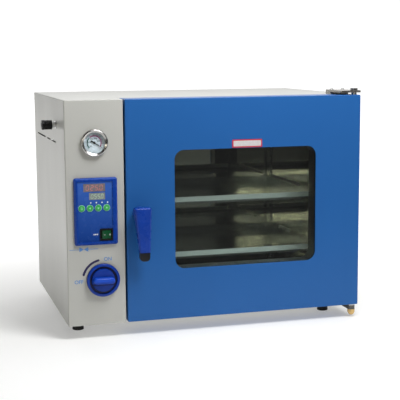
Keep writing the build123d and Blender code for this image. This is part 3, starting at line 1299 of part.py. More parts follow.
# ---------------------------------------------------------------- the whole oven
def build_all():
    pieces["outer_case"] = make_outer_case()
    pieces["front_frame"] = make_front_frame()
    pieces["base_plate"] = make_base_plate()
    pieces["back_panel"] = make_back_panel()
    pieces["compartment_divider"] = make_compartment_divider()
    pieces["feet"] = make_feet()
    pieces["case_screws"] = make_case_screws()
    pieces["vacuum_chamber"] = make_vacuum_chamber()
    pieces["heater_mats"] = make_heater_mats()
    pieces["chamber_insulation"] = make_chamber_insulation()
    pieces["door_seal"] = make_door_seal()
    pieces["shelf_racks"] = make_shelf_racks()
    lower, upper = shelf_heights()
    pieces["lower_shelf"] = make_shelf(lower)
    pieces["upper_shelf"] = make_shelf(upper)
    pieces["temperature_probe"] = make_temperature_probe()
    pieces["door_skin"] = make_door_skin()
    pieces["window_gasket"] = make_window_gasket()
    pieces["window_glass"] = make_window_glass()
    pieces["door_inner_plate"] = make_door_inner_plate()
    pieces["vacuum_glass"] = make_vacuum_glass()
    pieces["door_insulation"] = make_door_insulation()
    pieces["hinge_blocks"] = make_hinge_blocks()
    pieces["upper_hinge_plate"] = make_upper_hinge_plate()
    pieces["lower_hinge_arm"] = make_lower_hinge_arm()
    pieces["hinge_pins"] = make_hinge_pins()
    pieces["hinge_dome_nut"] = make_hinge_dome_nut()
    pieces["door_lever"] = make_door_lever()
    pieces["lever_spindle"] = make_lever_spindle()
    pieces["latch_cam"] = make_latch_cam()
    pieces["latch_keeper"] = make_latch_keeper()
    pieces["gauge_case"] = make_gauge_case()
    pieces["gauge_dial"] = make_gauge_dial()
    pieces["gauge_needle"] = make_gauge_needle()
    pieces["gauge_lens"] = make_gauge_lens()
    pieces["gauge_bezel"] = make_gauge_bezel()
    pieces["controller_bezel"] = make_controller_bezel()
    pieces["controller_board"] = make_controller_board()
    pieces["upper_display"] = make_display(UPPER_DISPLAY)
    pieces["lower_display"] = make_display(LOWER_DISPLAY)
    pieces["indicator_lamps"] = make_indicator_lamps()
    for name, offset in zip(KEY_NAMES, KEY_OFFSETS):
        pieces[name] = make_key(offset)
    pieces["switch_frame"] = make_switch_frame()
    pieces["power_rocker"] = make_power_rocker()
    pieces["valve_knob"] = make_valve_knob()
    pieces["valve_spindle"] = make_valve_spindle()
    pieces["vacuum_valve_body"] = make_vacuum_valve_body()
    pieces["chamber_pipe"] = make_chamber_pipe()
    pieces["pump_pipe"] = make_pump_pipe()
    pieces["gauge_pipe"] = make_gauge_pipe()
    pieces["vent_pipe"] = make_vent_pipe()
    pieces["pump_port"] = make_pump_port()
    pieces["vent_valve_body"] = make_vent_valve_body()
    pieces["vent_knob"] = make_vent_knob()
    pieces["cable_gland"] = make_cable_gland()
    pieces["fuse_holder"] = make_fuse_holder()
    pieces["solid_state_relay"] = make_solid_state_relay()
    pieces["terminal_block"] = make_terminal_block()


def export_all():
    os.makedirs("parts", exist_ok=True)
    to_floor = Pos(-ORIGIN_X, -ORIGIN_Y, FOOT_H)
    for name, piece in pieces.items():
        solids = piece if isinstance(piece, list) else [piece]
        moved = [to_floor * solid for group in solids for solid in group.solids()]
        shape = moved[0] if len(moved) == 1 else Compound(children=moved)
        export_step(shape, f"parts/{name}.step")


build_all()
export_all()
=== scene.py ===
import json
import math

import bmesh
import bpy
from mathutils import Matrix, Vector


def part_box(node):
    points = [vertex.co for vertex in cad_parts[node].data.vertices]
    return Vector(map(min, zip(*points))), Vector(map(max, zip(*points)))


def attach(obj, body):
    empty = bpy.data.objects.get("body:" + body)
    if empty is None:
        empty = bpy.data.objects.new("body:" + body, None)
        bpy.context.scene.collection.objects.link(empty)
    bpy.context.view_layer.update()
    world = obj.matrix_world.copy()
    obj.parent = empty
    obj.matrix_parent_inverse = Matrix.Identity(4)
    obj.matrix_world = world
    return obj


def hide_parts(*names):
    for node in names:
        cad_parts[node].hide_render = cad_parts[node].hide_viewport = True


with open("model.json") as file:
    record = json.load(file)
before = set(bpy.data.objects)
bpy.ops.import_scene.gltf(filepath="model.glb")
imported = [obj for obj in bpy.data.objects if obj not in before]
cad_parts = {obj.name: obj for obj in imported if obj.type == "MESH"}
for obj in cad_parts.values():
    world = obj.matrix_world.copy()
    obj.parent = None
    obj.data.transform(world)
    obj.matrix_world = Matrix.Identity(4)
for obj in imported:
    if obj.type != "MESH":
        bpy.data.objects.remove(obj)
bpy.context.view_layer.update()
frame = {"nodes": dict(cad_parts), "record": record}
record = frame["record"]
nodes = frame["nodes"]

MM = 0.001

# The camera: its place in metres, how it is turned in degrees, and its sensor and lens in mm.
CAMERA_PLACE = (-0.6774, -2.4901, 0.6365)
CAMERA_YAW = 16.094
CAMERA_PITCH = 8.096
CAMERA_ROLL = 0.385
SENSOR = 36.0
LENS = 93.68

# Printed marks are this thick, and stand this far off the face they are printed on.
INK = 0.12 * MM
INK_GAP = INK / 4

# The displays lie this far behind the floor of the controller's pocket.
POCKET_STEP = 0.2 * MM

# The way the oven's front faces.
FRONT = (0, -1, 0)


# ------------------------------------------------------------------ materials
class Tree:
    """A node tree under construction: short names for the nodes it is made of."""

    def __init__(self, tree):
        self.tree = tree

    def node(self, kind, **values):
        made = self.tree.nodes.new(kind)
        for key, value in values.items():
            setattr(made, key, value)
        return made

    def join(self, source, target):
        self.tree.links.new(source, target)

    def give(self, value, target):
        """Joins a socket to an input, or sets the input to a plain value."""
        if isinstance(value, bpy.types.NodeSocket):
            self.join(value, target)
        else:
            target.default_value = value

    def reckon(self, operation, *values):
        """One step of arithmetic on sockets or numbers."""
        made = self.node("ShaderNodeMath", operation=operation)
        for target, value in zip(made.inputs, values):
            self.give(value, target)
        return made.outputs["Value"]

    def span(self, value, low, high, start=0.3, end=0.7):
        """Maps the values from start to end onto those from low to high."""
        made = self.node("ShaderNodeMapRange")
        made.inputs["From Min"].default_value = start
        made.inputs["From Max"].default_value = end
        made.inputs["To Min"].default_value = low
        made.inputs["To Max"].default_value = high
        self.join(value, made.inputs["Value"])
        return made.outputs["Result"]

    def band(self, value, rise, fall, top=1.0):
        """Rises from zero to top over one stretch of the value and falls back over another."""
        upward = self.span(value, 0.0, top, *rise)
        return self.reckon("MULTIPLY", upward, self.span(value, 1.0, 0.0, *fall))

    def blend(self, factor, first, second):
        made = self.node("ShaderNodeMix", data_type="RGBA")
        self.join(factor, made.inputs["Factor"])
        for target, colour in ((made.inputs["A"], first), (made.inputs["B"], second)):
            self.give((*colour, 1.0) if isinstance(colour, tuple) else colour, target)
        return made.outputs["Result"]

    def axes(self, place):
        """The X, the Y and the Z of a place."""
        made = self.node("ShaderNodeSeparateXYZ")
        self.join(place, made.inputs["Vector"])
        return [made.outputs[axis] for axis in "XYZ"]


class Finish(Tree):
    """A material under construction, laid out by the place on its piece."""

    def __init__(self, name):
        self.material = bpy.data.materials.new(name)
        self.material.use_nodes = True
        super().__init__(self.material.node_tree)
        self.shader = self.tree.nodes["Principled BSDF"]
        self.place = self.node("ShaderNodeTexCoord").outputs["Object"]

    def set(self, **values):
        for key, value in values.items():
            self.shader.inputs[key.replace("_", " ")].default_value = value

    def stretched(self, scale):
        mapping = self.node("ShaderNodeMapping")
        mapping.inputs["Scale"].default_value = scale
        self.join(self.place, mapping.inputs["Vector"])
        return mapping.outputs["Vector"]

    def noise(self, scale, detail=3.0, rough=0.5, stretch=None):
        made = self.node("ShaderNodeTexNoise")
        made.inputs["Scale"].default_value = scale
        made.inputs["Detail"].default_value = detail
        made.inputs["Roughness"].default_value = rough
        self.join(self.stretched(stretch) if stretch else self.place, made.inputs["Vector"])
        return made.outputs["Fac"]

    def cloudy(self, dark, light, *cloud):
        """A colour that drifts between two others."""
        return self.blend(self.span(self.noise(*cloud), 0.0, 1.0), dark, light)

    def patchy(self, low, high, *cloud):
        """A number that drifts between two others, for the gloss."""
        return self.span(self.noise(*cloud), low, high)

    def bump(self, height, distance, strength=1.0, before=None):
        made = self.node("ShaderNodeBump")
        made.inputs["Distance"].default_value = distance
        made.inputs["Strength"].default_value = strength
        self.join(height, made.inputs["Height"])
        if before is not None:
            self.join(before, made.inputs["Normal"])
        return made.outputs["Normal"]

    def finish(self, colour=None, roughness=None, normal=None):
        given = {"Base Color": colour, "Roughness": roughness, "Normal": normal}
        for socket, value in given.items():
            if value is not None:
                self.join(value, self.shader.inputs[socket])
        return self.material


def toned(tone, factor, lift=0.0):
    """A darker or lighter version of a colour."""
    return tuple(channel * factor + lift for channel in tone)


def powder_coat(name, light, dark, gloss, shine=0.5):
    """Sprayed and baked paint: orange peel, cloudy tone and fine dust."""
    peel = 0.06 * MM
    f = Finish(name)
    f.set(Specular_IOR_Level=shine, IOR=1.5)
    smear = f.patchy(gloss * 0.92, gloss * 1.1, 9.0, 5.0, 0.55, (1.0, 1.0, 0.35))
    grit = f.bump(f.noise(1900.0, 1.0), peel * 0.25, 0.4)
    return f.finish(f.cloudy(dark, light, 3.0, 4.0), smear,
                    f.bump(f.noise(520.0, 2.0), peel, 0.35, grit))


def moulded(name, light, dark, gloss, shine=0.5, coat=0.0):
    """Moulded plastic: faint grain, flow marks in its gloss and rubbed patches."""
    f = Finish(name)
    f.set(Coat_Weight=coat, Coat_Roughness=0.08, Specular_IOR_Level=shine, IOR=1.49)
    rough = f.patchy(gloss * 0.75, gloss * 1.35, 60.0, 4.0, 0.6)
    return f.finish(f.cloudy(dark, light, 40.0, 3.0), rough,
                    f.bump(f.noise(900.0, 2.0), 0.04 * MM, 0.5))


def sheet_metal(name, light, dark, gloss, brush, cloud_scale=8.0):
    """Rolled or brushed metal: long scratches along one way, clouds and finger marks."""
    f = Finish(name)
    f.set(Metallic=1.0)
    lines = f.noise(900.0, 3.0, 0.6, brush)
    cloud = f.noise(cloud_scale, 4.0, 0.6)
    colour = f.blend(f.span(cloud, 0.0, 1.0), dark, light)
    rough = f.reckon("MULTIPLY", f.span(lines, 0.75, 1.25),
                     f.span(cloud, gloss * 0.7, gloss * 1.4))
    return f.finish(colour, rough, f.bump(lines, 0.02 * MM, 0.6))


def plated(name, tone, gloss):
    """Bright plating or turned metal: a little haze and tiny pits."""
    f = Finish(name)
    f.set(Metallic=1.0)
    rough = f.patchy(gloss * 0.6, gloss * 1.6, 160.0, 4.0, 0.7)
    return f.finish(f.cloudy(toned(tone, 0.78), tone, 70.0, 4.0), rough,
                    f.bump(f.noise(1500.0, 2.0), 0.01 * MM, 0.5))


def rubber(name, tone, gloss, shine=0.5):
    """Rubber or silicone: matt, with a coarse grain and dusty patches."""
    f = Finish(name)
    f.set(Specular_IOR_Level=shine, IOR=1.52)
    rough = f.patchy(gloss * 0.85, gloss * 1.1, 200.0, 3.0)
    return f.finish(f.cloudy(tone, toned(tone, 1.4, 0.003), 90.0, 5.0, 0.7), rough,
                    f.bump(f.noise(1300.0, 3.0), 0.06 * MM, 0.6))


def mineral_wool(name):
    """Matted fibres, with a loose and uneven surface."""
    f = Finish(name)
    f.set(Roughness=0.95)
    colour = f.cloudy((0.32, 0.24, 0.1), (0.62, 0.53, 0.32), 160.0, 8.0, 0.8, (1.0, 0.15, 1.0))
    return f.finish(colour, None, f.bump(f.noise(420.0, 6.0, 0.8), 1.2 * MM, 0.9))


def clear_glass(name, tint, gloss):
    """Glass that lets the lamps through to what is behind it, with faint smears."""
    f = Finish(name)
    f.set(Transmission_Weight=1.0, IOR=1.45, Base_Color=(*tint, 1.0))
    clear = f.node("ShaderNodeBsdfTransparent")
    clear.inputs["Color"].default_value = (*tint, 1.0)
    mix = f.node("ShaderNodeMixShader")
    f.join(f.node("ShaderNodeLightPath").outputs["Is Shadow Ray"], mix.inputs["Fac"])
    f.join(f.shader.outputs["BSDF"], mix.inputs[1])
    f.join(clear.outputs["BSDF"], mix.inputs[2])
    f.join(mix.outputs["Shader"], f.tree.nodes["Material Output"].inputs["Surface"])
    return f.finish(None, f.patchy(gloss * 0.5, gloss * 2.0, 14.0, 5.0, 0.6))


def lit_display(name, tone, glow):
    """A display window: a smoky face with faint moulding grain, and a faint painted glow over the
    whole face.
    """
    f = Finish(name)
    f.set(Emission_Color=(*tone, 1.0), Emission_Strength=glow, Coat_Weight=0.5, Roughness=0.35)
    return f.finish(f.cloudy(toned(tone, 0.72), tone, 120.0, 3.0), None,
                    f.bump(f.noise(1200.0, 1.0), 0.02 * MM, 0.4))


def printed_ink(name, tone, gloss=0.45):
    """Screen-printed ink: slightly uneven in depth and gloss."""
    f = Finish(name)
    rough = f.patchy(gloss * 0.8, gloss * 1.2, 300.0, 2.0)
    return f.finish(f.cloudy(tone, toned(tone, 1.25, 0.015), 260.0, 4.0, 0.7), rough,
                    f.bump(f.noise(900.0, 2.0), 0.02 * MM, 0.4))


def membrane(name, upper, lower, rim, pocket_y, heights):
    """Moulded plastic, with a printed sheet in its pocket whose colour is darker towards the foot.
    """
    f = Finish(name)
    f.set(Specular_IOR_Level=0.2, IOR=1.49)
    _, y, z = f.axes(f.place)
    in_pocket = f.reckon("COMPARE", y, pocket_y, 0.3 * MM)
    sheet = f.blend(f.span(z, 0.0, 1.0, *heights), lower, upper)
    frame_colour = f.cloudy(rim, toned(rim, 0.85), 40.0, 3.0)
    rough = f.patchy(0.2, 0.32, 60.0, 4.0, 0.6)
    return f.finish(f.blend(in_pocket, frame_colour, sheet), rough,
                    f.bump(f.noise(900.0, 2.0), 0.04 * MM, 0.5))


def skirted(name, tone, painted_highlight, shade, knob):
    """Knob plastic, with a painted highlight along the upper part of the grip, and painted shade
    in the ring's groove and under the grip.
    """
    f = Finish(name)
    f.set(Specular_IOR_Level=0.25, IOR=1.49)
    _, y, z = f.axes(f.place)

    def depths(*steps):
        """Depths in front of the knob's back."""
        return [knob.high.y - step * MM for step in steps]

    def heights(*steps):
        """Heights over the knob's middle."""
        return [knob.middle.z + step * MM for step in steps]

    # Painted shade: the ring's groove goes dark, and so does the strip of the core just under the
    # grip, where its shadow falls.
    groove = f.span(y, 0.0, 1.0, *depths(6.5, 3.5))
    corner = f.band(z, heights(-13.5, -10.0), heights(-8.0, -6.5), 0.85)
    core = f.band(y, depths(13.0, 10.0), depths(8.8, 8.2))
    # Painted highlight: the grip's upper part, where the light falls, goes lighter.
    grip = f.reckon("MULTIPLY", f.span(y, 1.0, 0.0, *depths(15.0, 11.0)),
                 f.span(z, 0.0, 1.0, *heights(-5.0, 1.0)))
    dark = f.reckon("MAXIMUM", groove, f.reckon("MULTIPLY", corner, core))
    plain = f.cloudy(tone, toned(tone, 0.8), 50.0, 3.0)
    rough = f.patchy(0.16, 0.28, 60.0, 4.0, 0.6)
    return f.finish(f.blend(dark, f.blend(grip, plain, painted_highlight), shade), rough,
                    f.bump(f.noise(900.0, 2.0), 0.04 * MM, 0.5))


def brushed_shelf(name, light, dark, front_y, lip_z):
    """Brushed steel, with a painted highlight along its front edge and a painted shadow along the
    foot of that edge.
    """
    f = Finish(name)
    _, y, z = f.axes(f.place)
    # Painted highlight on the front edge, and painted shadow over its lowest few millimetres.
    painted_edge_light = f.reckon("MULTIPLY", f.span(y, 1.0, 0.0, front_y + MM, front_y + 4 * MM),
                f.span(z, 0.1, 1.0, lip_z - MM, lip_z + MM))
    f.join(f.span(painted_edge_light, 0.95, 0.7, 0.0, 1.0), f.shader.inputs["Metallic"])
    lines = f.noise(500.0, 2.0, 0.5, (1.0, 0.05, 1.0))
    return f.finish(f.blend(painted_edge_light, dark, light), f.span(lines, 0.16, 0.24),
                    f.bump(lines, 0.01 * MM, 0.3))


def mirror_steel(name, light, dark, gloss):
    """Polished sheet that reflects nearly like a mirror, with cloudy rubbing marks."""
    f = Finish(name)
    f.set(Metallic=1.0)
    rough = f.patchy(gloss * 0.6, gloss * 1.5, 40.0, 4.0, 0.6, (1.0, 0.1, 1.0))
    return f.finish(f.cloudy(dark, light, 6.0, 4.0), rough, f.bump(f.noise(4.0, 2.0), MM, 0.1))


# How a metal's scratches are drawn out: the smaller the number, the longer they run that way.
LONG_BRUSH = (1.0, 0.02, 1.0)
SHORT_BRUSH = (1.0, 0.1, 1.0)
NO_BRUSH = (0.4, 0.4, 0.4)

FINISHES = {
    "grey_paint": powder_coat("grey powder coat", (0.45, 0.452, 0.43), (0.425, 0.427, 0.405),
                              0.34, 0.35),
    "blue_paint": powder_coat("blue powder coat", (0.018, 0.106, 0.335), (0.016, 0.097, 0.31),
                              0.32, 0.2),
    "galvanised_sheet": sheet_metal("galvanised sheet", (0.62, 0.64, 0.66), (0.42, 0.44, 0.46),
                                    0.42, NO_BRUSH, cloud_scale=60.0),
    "stainless_steel": sheet_metal("polished stainless", (0.66, 0.67, 0.64), (0.5, 0.51, 0.48),
                                   0.16, LONG_BRUSH),
    "mineral_wool": mineral_wool("mineral wool"),
    "heater_silicone": rubber("heater silicone", (0.3, 0.09, 0.03), 0.7),
    "seal_silicone": rubber("seal silicone", (0.6, 0.57, 0.5), 0.45),
    "black_rubber": rubber("black rubber", (0.005, 0.005, 0.005), 0.6, 0.25),
    "window_glass": clear_glass("window glass", (0.93, 0.96, 0.94), 0.01),
    "dark_steel": sheet_metal("blackened steel", (0.13, 0.125, 0.12), (0.06, 0.055, 0.05), 0.3,
                              SHORT_BRUSH),
    "bright_steel": plated("zinc-plated steel", (0.55, 0.55, 0.54), 0.24),
    "brass": plated("turned brass", (0.66, 0.45, 0.19), 0.2),
    "copper_pipe": plated("drawn copper", (0.72, 0.35, 0.2), 0.3),
    "chrome": plated("bright chrome", (0.6, 0.6, 0.6), 0.08),
    "gauge_black": moulded("black enamel", (0.014, 0.014, 0.016), (0.008, 0.008, 0.01), 0.3),
    "dial_white": printed_ink("dial white", (0.47, 0.51, 0.59), 0.4),
    "blue_plastic": moulded("deep blue plastic", (0.006, 0.045, 0.33), (0.004, 0.036, 0.27),
                            0.26, 0.22),
    "red_display": lit_display("reddish display window", (0.18, 0.16, 0.18), 0.06),
    "green_display": lit_display("greenish display window", (0.23, 0.255, 0.255), 0.06),
    "lamp_plastic": moulded("clear lamp", (0.72, 0.8, 0.78), (0.6, 0.7, 0.7), 0.15, coat=0.5),
    "green_plastic": moulded("green plastic", (0.05, 0.42, 0.1), (0.035, 0.33, 0.075), 0.3, 0.3),
    "black_plastic": moulded("black plastic", (0.009, 0.009, 0.01), (0.005, 0.005, 0.006),
                             0.3, 0.3),
    "board_green": moulded("board green", (0.03, 0.2, 0.06), (0.02, 0.13, 0.04), 0.4),
}

INKS = {
    "navy": printed_ink("navy print", (0.004, 0.001, 0.055)),
    "sky": printed_ink("light blue print", (0.07, 0.19, 0.46)),
    "red": printed_ink("red print", (0.4, 0.008, 0.03)),
    "teal": printed_ink("dark teal print", (0.01, 0.06, 0.06)),
    "crimson": printed_ink("crimson print", (0.19, 0.02, 0.11)),
    "black": printed_ink("black print", (0.012, 0.012, 0.014)),
    "white": printed_ink("white print", (0.62, 0.62, 0.64)),
    "plate": printed_ink("white enamel", (0.46, 0.45, 0.455)),
    "pale_green": printed_ink("pale green print", (0.36, 0.68, 0.46)),
    "segment_red": printed_ink("red segments", (0.5, 0.17, 0.17)),
    "segment_green": printed_ink("green segments", (0.42, 0.62, 0.42)),
}


# ------------------------------------------------------------------ places on the CAD pieces
class Spot:
    """The box of a CAD node: its low and high corners, its middle and its size, in metres."""

    def __init__(self, node):
        low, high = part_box(node)
        self.low, self.high = Vector(low), Vector(high)
        self.middle = (self.low + self.high) / 2
        self.size = self.high - self.low


# ------------------------------------------------------------------ mesh building
def made_piece(name, mesh, material, body, slot, smooth=None):
    """Turns a mesh into a piece of the oven that rides on a body; its slot is not used."""
    piece = bpy.data.objects.new(name, mesh)
    bpy.context.collection.objects.link(piece)
    mesh.materials.clear()
    mesh.materials.append(material)
    if smooth is not None:
        mesh.shade_smooth()
        mesh.set_sharp_from_angle(angle=math.radians(smooth))
    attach(piece, body)
    return piece


def plain_mesh(name, shapes):
    """One mesh from several shapes, each of them (corners, faces)."""
    build = bmesh.new()
    for corners, faces in shapes:
        made = [build.verts.new(corner) for corner in corners]
        for face in faces:
            build.faces.new([made[index] for index in face])
    bmesh.ops.recalc_face_normals(build, faces=build.faces)
    mesh = bpy.data.meshes.new(name)
    build.to_mesh(mesh)
    build.free()
    return mesh


def facing(direction, origin):
    """The matrix that lays a drawing (x right, y up, z out) on a face that looks one way."""
    out = Vector(direction)
    up = Vector((0, 0, 1)) if abs(out.z) < 0.9 else Vector((0, 1, 0))
    across = up.cross(out).normalized()
    up = out.cross(across)
    return Matrix.Translation(origin) @ Matrix((across, up, out)).transposed().to_4x4()


def placed(shape, matrix):
    """A shape moved to its place by a matrix."""
    corners, faces = shape
    return [matrix @ Vector(corner) for corner in corners], faces


def slab(outline, thickness):
    """A flat shape with a thickness, from its outline in x and y."""
    count = len(outline)
    corners = [(x, y, 0.0) for x, y in outline] + [(x, y, thickness) for x, y in outline]
    faces = [tuple(reversed(range(count))), tuple(range(count, 2 * count))]
    for index in range(count):
        after = (index + 1) % count
        faces.append((index, after, count + after, count + index))
    return corners, faces


def round_points(radius, steps, start=0.0, sweep=360.0, closed=True):
    """Points along a circle about the middle; angles in degrees. An open run ends on a point."""
    for step in range(steps if closed else steps + 1):
        angle = math.radians(start + sweep * step / steps)
        yield radius * math.cos(angle), radius * math.sin(angle)


def arc_band(inner, outer, start, end, thickness, steps=48):
    """A band between two radii, from one angle to another in degrees."""
    ring = list(round_points(outer, steps, start, end - start, False))
    ring += reversed(list(round_points(inner, steps, start, end - start, False)))
    corners = [(x, y, z) for z in (0.0, thickness) for x, y in ring]
    faces = []
    around = len(ring)
    last = around - 1
    for here in range(steps):
        there = last - here
        faces.append((here, here + 1, there - 1, there))
        faces.append((around + here, around + there, around + there - 1, around + here + 1))
        faces.append((here, around + here, around + here + 1, here + 1))
        faces.append((there, there - 1, around + there - 1, around + there))
    faces.append((0, last, around + last, around))
    faces.append((steps, around + steps, around + steps + 1, steps + 1))
    return corners, faces


def full_ring(inner, outer, thickness, steps=64):
    """A flat ring between two radii."""
    section = ((outer, 0.0), (outer, thickness), (inner, thickness), (inner, 0.0))
    sides = len(section)
    corners, faces = [], []
    for across, up in round_points(1.0, steps):
        corners += [(radius * across, radius * up, z) for radius, z in section]
    for step in range(steps):
        here, there = sides * step, sides * ((step + 1) % steps)
        for side in range(sides):
            after = (side + 1) % sides
            faces.append((here + side, there + side, there + after, here + after))
    return corners, faces


def bar(x, y, width, height, thickness):
    """A flat oblong about a point."""
    corners = ((-1, -1), (1, -1), (1, 1), (-1, 1))
    return slab([(x + side * width / 2, y + end * height / 2) for side, end in corners], thickness)


def disc(x, y, radius, thickness, steps=32):
    """A flat disc about a point."""
    return slab([(x + dx, y + dy) for dx, dy in round_points(radius, steps)], thickness)


def round_box(width, height, radius, steps=8):
    """The outline of an oblong with round corners."""
    outline = []
    for corner, (side, end) in enumerate(((1, 1), (-1, 1), (-1, -1), (1, -1))):
        for dx, dy in round_points(radius, steps, 90 * corner, 90, False):
            outline.append((side * (width / 2 - radius) + dx, end * (height / 2 - radius) + dy))
    return outline


def lathe(profile, steps=64):
    """A closed body turned about z from (radius, height) points, with one corner on each pole."""
    corners, faces, rings = [], [], []
    for radius, height in profile:
        if radius == 0.0:
            rings.append([len(corners)] * steps)
            corners.append((0.0, 0.0, height))
            continue
        rings.append(list(range(len(corners), len(corners) + steps)))
        corners += [(x, y, height) for x, y in round_points(radius, steps)]
    for lower, upper in zip(rings, rings[1:]):
        for step in range(steps):
            after = (step + 1) % steps
            face = tuple(dict.fromkeys((lower[step], lower[after], upper[after], upper[step])))
            if len(face) > 2:
                faces.append(face)
    return corners, faces


def evaluated_mesh(holder):
    """The plain mesh that an object comes to once its text or its modifiers are worked out."""
    bpy.context.view_layer.update()
    ready = holder.evaluated_get(bpy.context.evaluated_depsgraph_get())
    return bpy.data.meshes.new_from_object(ready)


def lettering(text, height, thickness):
    """Plain numerals or letters as a flat shape about the middle."""
    curve = bpy.data.curves.new("lettering", "FONT")
    curve.body = text
    curve.size = height
    curve.extrude = thickness / 2
    curve.offset = height * 0.02
    curve.align_x = "CENTER"
    curve.align_y = "CENTER"
    writer = bpy.data.objects.new("lettering", curve)
    bpy.context.collection.objects.link(writer)
    mesh = evaluated_mesh(writer)
    bpy.data.objects.remove(writer)
    corners = [(v.co.x, v.co.y, v.co.z + thickness / 2) for v in mesh.vertices]
    faces = [tuple(face.vertices) for face in mesh.polygons]
    bpy.data.meshes.remove(mesh)
    return corners, faces


# ------------------------------------------------------------------ patterns by Geometry Nodes
class Pattern(Tree):
    """A Geometry Nodes tree under construction, with named inputs for its sizes."""

    def __init__(self, name, **inputs):
        super().__init__(bpy.data.node_groups.new(name, "GeometryNodeTree"))
        self.socket("Geometry", "Geometry", "INPUT")
        self.socket("Geometry", "Geometry", "OUTPUT")
        for key, kind in inputs.items():
            self.socket(key.replace("_", " "), kind, "INPUT")
        self.socket("Material", "Material", "INPUT")
        self.given = self.node("NodeGroupInput").outputs

    def socket(self, name, kind, side):
        self.tree.interface.new_socket(name, in_out=side, socket_type=f"NodeSocket{kind}")

    def made(self, kind, **values):
        """Makes a node and gives it its inputs by name; its first output."""
        return self.feed(self.node(kind), **values)

    def feed(self, target, **values):
        """Gives a node its inputs by name; its first output."""
        for key, value in values.items():
            self.give(value, target.inputs[key.replace("_", " ")])
        return next(iter(target.outputs), None)

    def copies(self, points, piece, euler):
        """Ends the tree: a turned copy of a piece on every point, as real faces."""
        loose = self.made("GeometryNodeInstanceOnPoints", Points=points, Instance=piece,
                          Rotation=self.made("FunctionNodeEulerToRotation", Euler=euler))
        real = self.made("GeometryNodeRealizeInstances", Geometry=loose)
        painted = self.made("GeometryNodeSetMaterial", Geometry=real,
                            Material=self.given["Material"])
        self.feed(self.node("NodeGroupOutput"), Geometry=painted)
        return self.tree


def ring_pattern():
    """Bars set round a circle, each pointing outwards."""
    p = Pattern("bars round a circle", Count="Int", First_Angle="Float", Step_Angle="Float",
                Radius="Float", Bar_Size="Vector", Height="Float")
    given = p.given
    index = p.made("GeometryNodeInputIndex")
    angle = p.reckon("ADD", given["First Angle"], p.reckon("MULTIPLY", index, given["Step Angle"]))
    place = p.made(
        "ShaderNodeCombineXYZ",
        X=p.reckon("MULTIPLY", given["Radius"], p.reckon("COSINE", angle)),
        Y=p.reckon("MULTIPLY", given["Radius"], p.reckon("SINE", angle)),
        Z=given["Height"],
    )
    points = p.made("GeometryNodePoints", Count=given["Count"], Position=place)
    one_bar = p.made("GeometryNodeMeshCube", Size=given["Bar Size"])
    return p.copies(points, one_bar, p.made("ShaderNodeCombineXYZ", Z=angle))


def recess_pattern():
    """A cross of two bars on every point of a mesh."""
    p = Pattern("crosses on points", Bar_Size="Vector", Facing="Vector")
    one_bar = p.made("GeometryNodeMeshCube", Size=p.given["Bar Size"])
    crossed = p.made("GeometryNodeTransform", Geometry=one_bar, Rotation=(0.0, 0.0, math.pi / 2))
    both = p.node("GeometryNodeJoinGeometry")
    p.feed(both, Geometry=one_bar)
    return p.copies(p.given["Geometry"], p.feed(both, Geometry=crossed), p.given["Facing"])


def grown(tree, material, points=((0, 0, 0),), **values):
    """Runs a pattern with the sizes given and returns the plain mesh that it makes."""
    seed = bpy.data.meshes.new(tree.name)
    seed.from_pydata(points, [], [])
    holder = bpy.data.objects.new(tree.name, seed)
    bpy.context.collection.objects.link(holder)
    modifier = holder.modifiers.new("pattern", "NODES")
    modifier.node_group = tree
    names = {
        item.name: item.identifier for item in tree.interface.items_tree
        if item.item_type == "SOCKET" and item.in_out == "INPUT"
    }
    modifier[names["Material"]] = material
    for key, value in values.items():
        modifier[names[key.replace("_", " ")]] = value
    mesh = evaluated_mesh(holder)
    holder.modifiers.remove(modifier)
    bpy.data.objects.remove(holder)
    return mesh


RING = ring_pattern()
RECESS = recess_pattern()


def grown_ring(name, matrix, material, body, slot, count, first, step, radius, size, height=0.0):
    """A piece made of bars round a circle, laid on a face by its matrix; angles in degrees."""
    mesh = grown(RING, material, Count=count, First_Angle=math.radians(first),
                 Step_Angle=math.radians(step), Radius=radius, Bar_Size=size, Height=height)
    mesh.transform(matrix)
    return made_piece(name, mesh, material, body, slot)


def drawn(name, shapes, material, body, slot, smooth=None):
    """A piece made of shapes."""
    return made_piece(name, plain_mesh(name, shapes), material, body, slot, smooth)


def printed(name, shapes, ink, body, slot):
    """A piece made of shapes in one ink."""
    return drawn(name, shapes, INKS[ink], body, slot)


# ------------------------------------------------------------------ gauge
# The dial's scale starts at an angle and runs clockwise over a sweep, both in degrees.
DIAL_START, DIAL_SWEEP = 225, 257
DIAL_NUMBERS = ("0.1", "0.08", "0.06", "0.04", "0.02", "0")
DIAL_BANDS = (("gauge_green_band", 132, 225, "teal"), ("gauge_red_band", -32, 128, "crimson"))

# Each scale: its name and its gaps, then its marks' place, length and width as parts of the
# dial's radius, and their height as a part of a printed mark's thickness.
DIAL_SCALES = (
    ("gauge_fine_scale", 50, 0.75, 0.06, 0.014, 0.5),
    ("gauge_main_scale", 10, 0.77, 0.13, 0.03, 0.6),
)


def make_gauge_print():
    """The dial's coloured bands, numbers and scale marks."""
    dial = Spot("gauge_dial")
    face = facing(FRONT, (dial.middle.x, dial.low.y - INK_GAP, dial.middle.z))
    radius = dial.size.x / 2
    for name, start, end, ink in DIAL_BANDS:
        band = arc_band(radius * 0.58, radius * 0.69, start, end, INK)
        printed(name, [placed(band, face)], ink, "cabinet", "gauge_black")
    numbers = []
    for step, number in enumerate(DIAL_NUMBERS):
        angle = math.radians(DIAL_START - DIAL_SWEEP * step / (len(DIAL_NUMBERS) - 1))
        place = (radius * 0.42 * math.cos(angle), radius * 0.42 * math.sin(angle), 0)
        spot = face @ Matrix.Translation(place)
        numbers.append(placed(lettering(number, radius * 0.17, INK), spot))
    printed("gauge_numbers", numbers, "black", "cabinet", "gauge_black")
    for name, gaps, middle, length, width, height in DIAL_SCALES:
        grown_ring(name, face, INKS["black"], "cabinet", "gauge_black", gaps + 1, DIAL_START,
                   -DIAL_SWEEP / gaps, radius * middle, (radius * length, radius * width, INK),
                   INK * height)


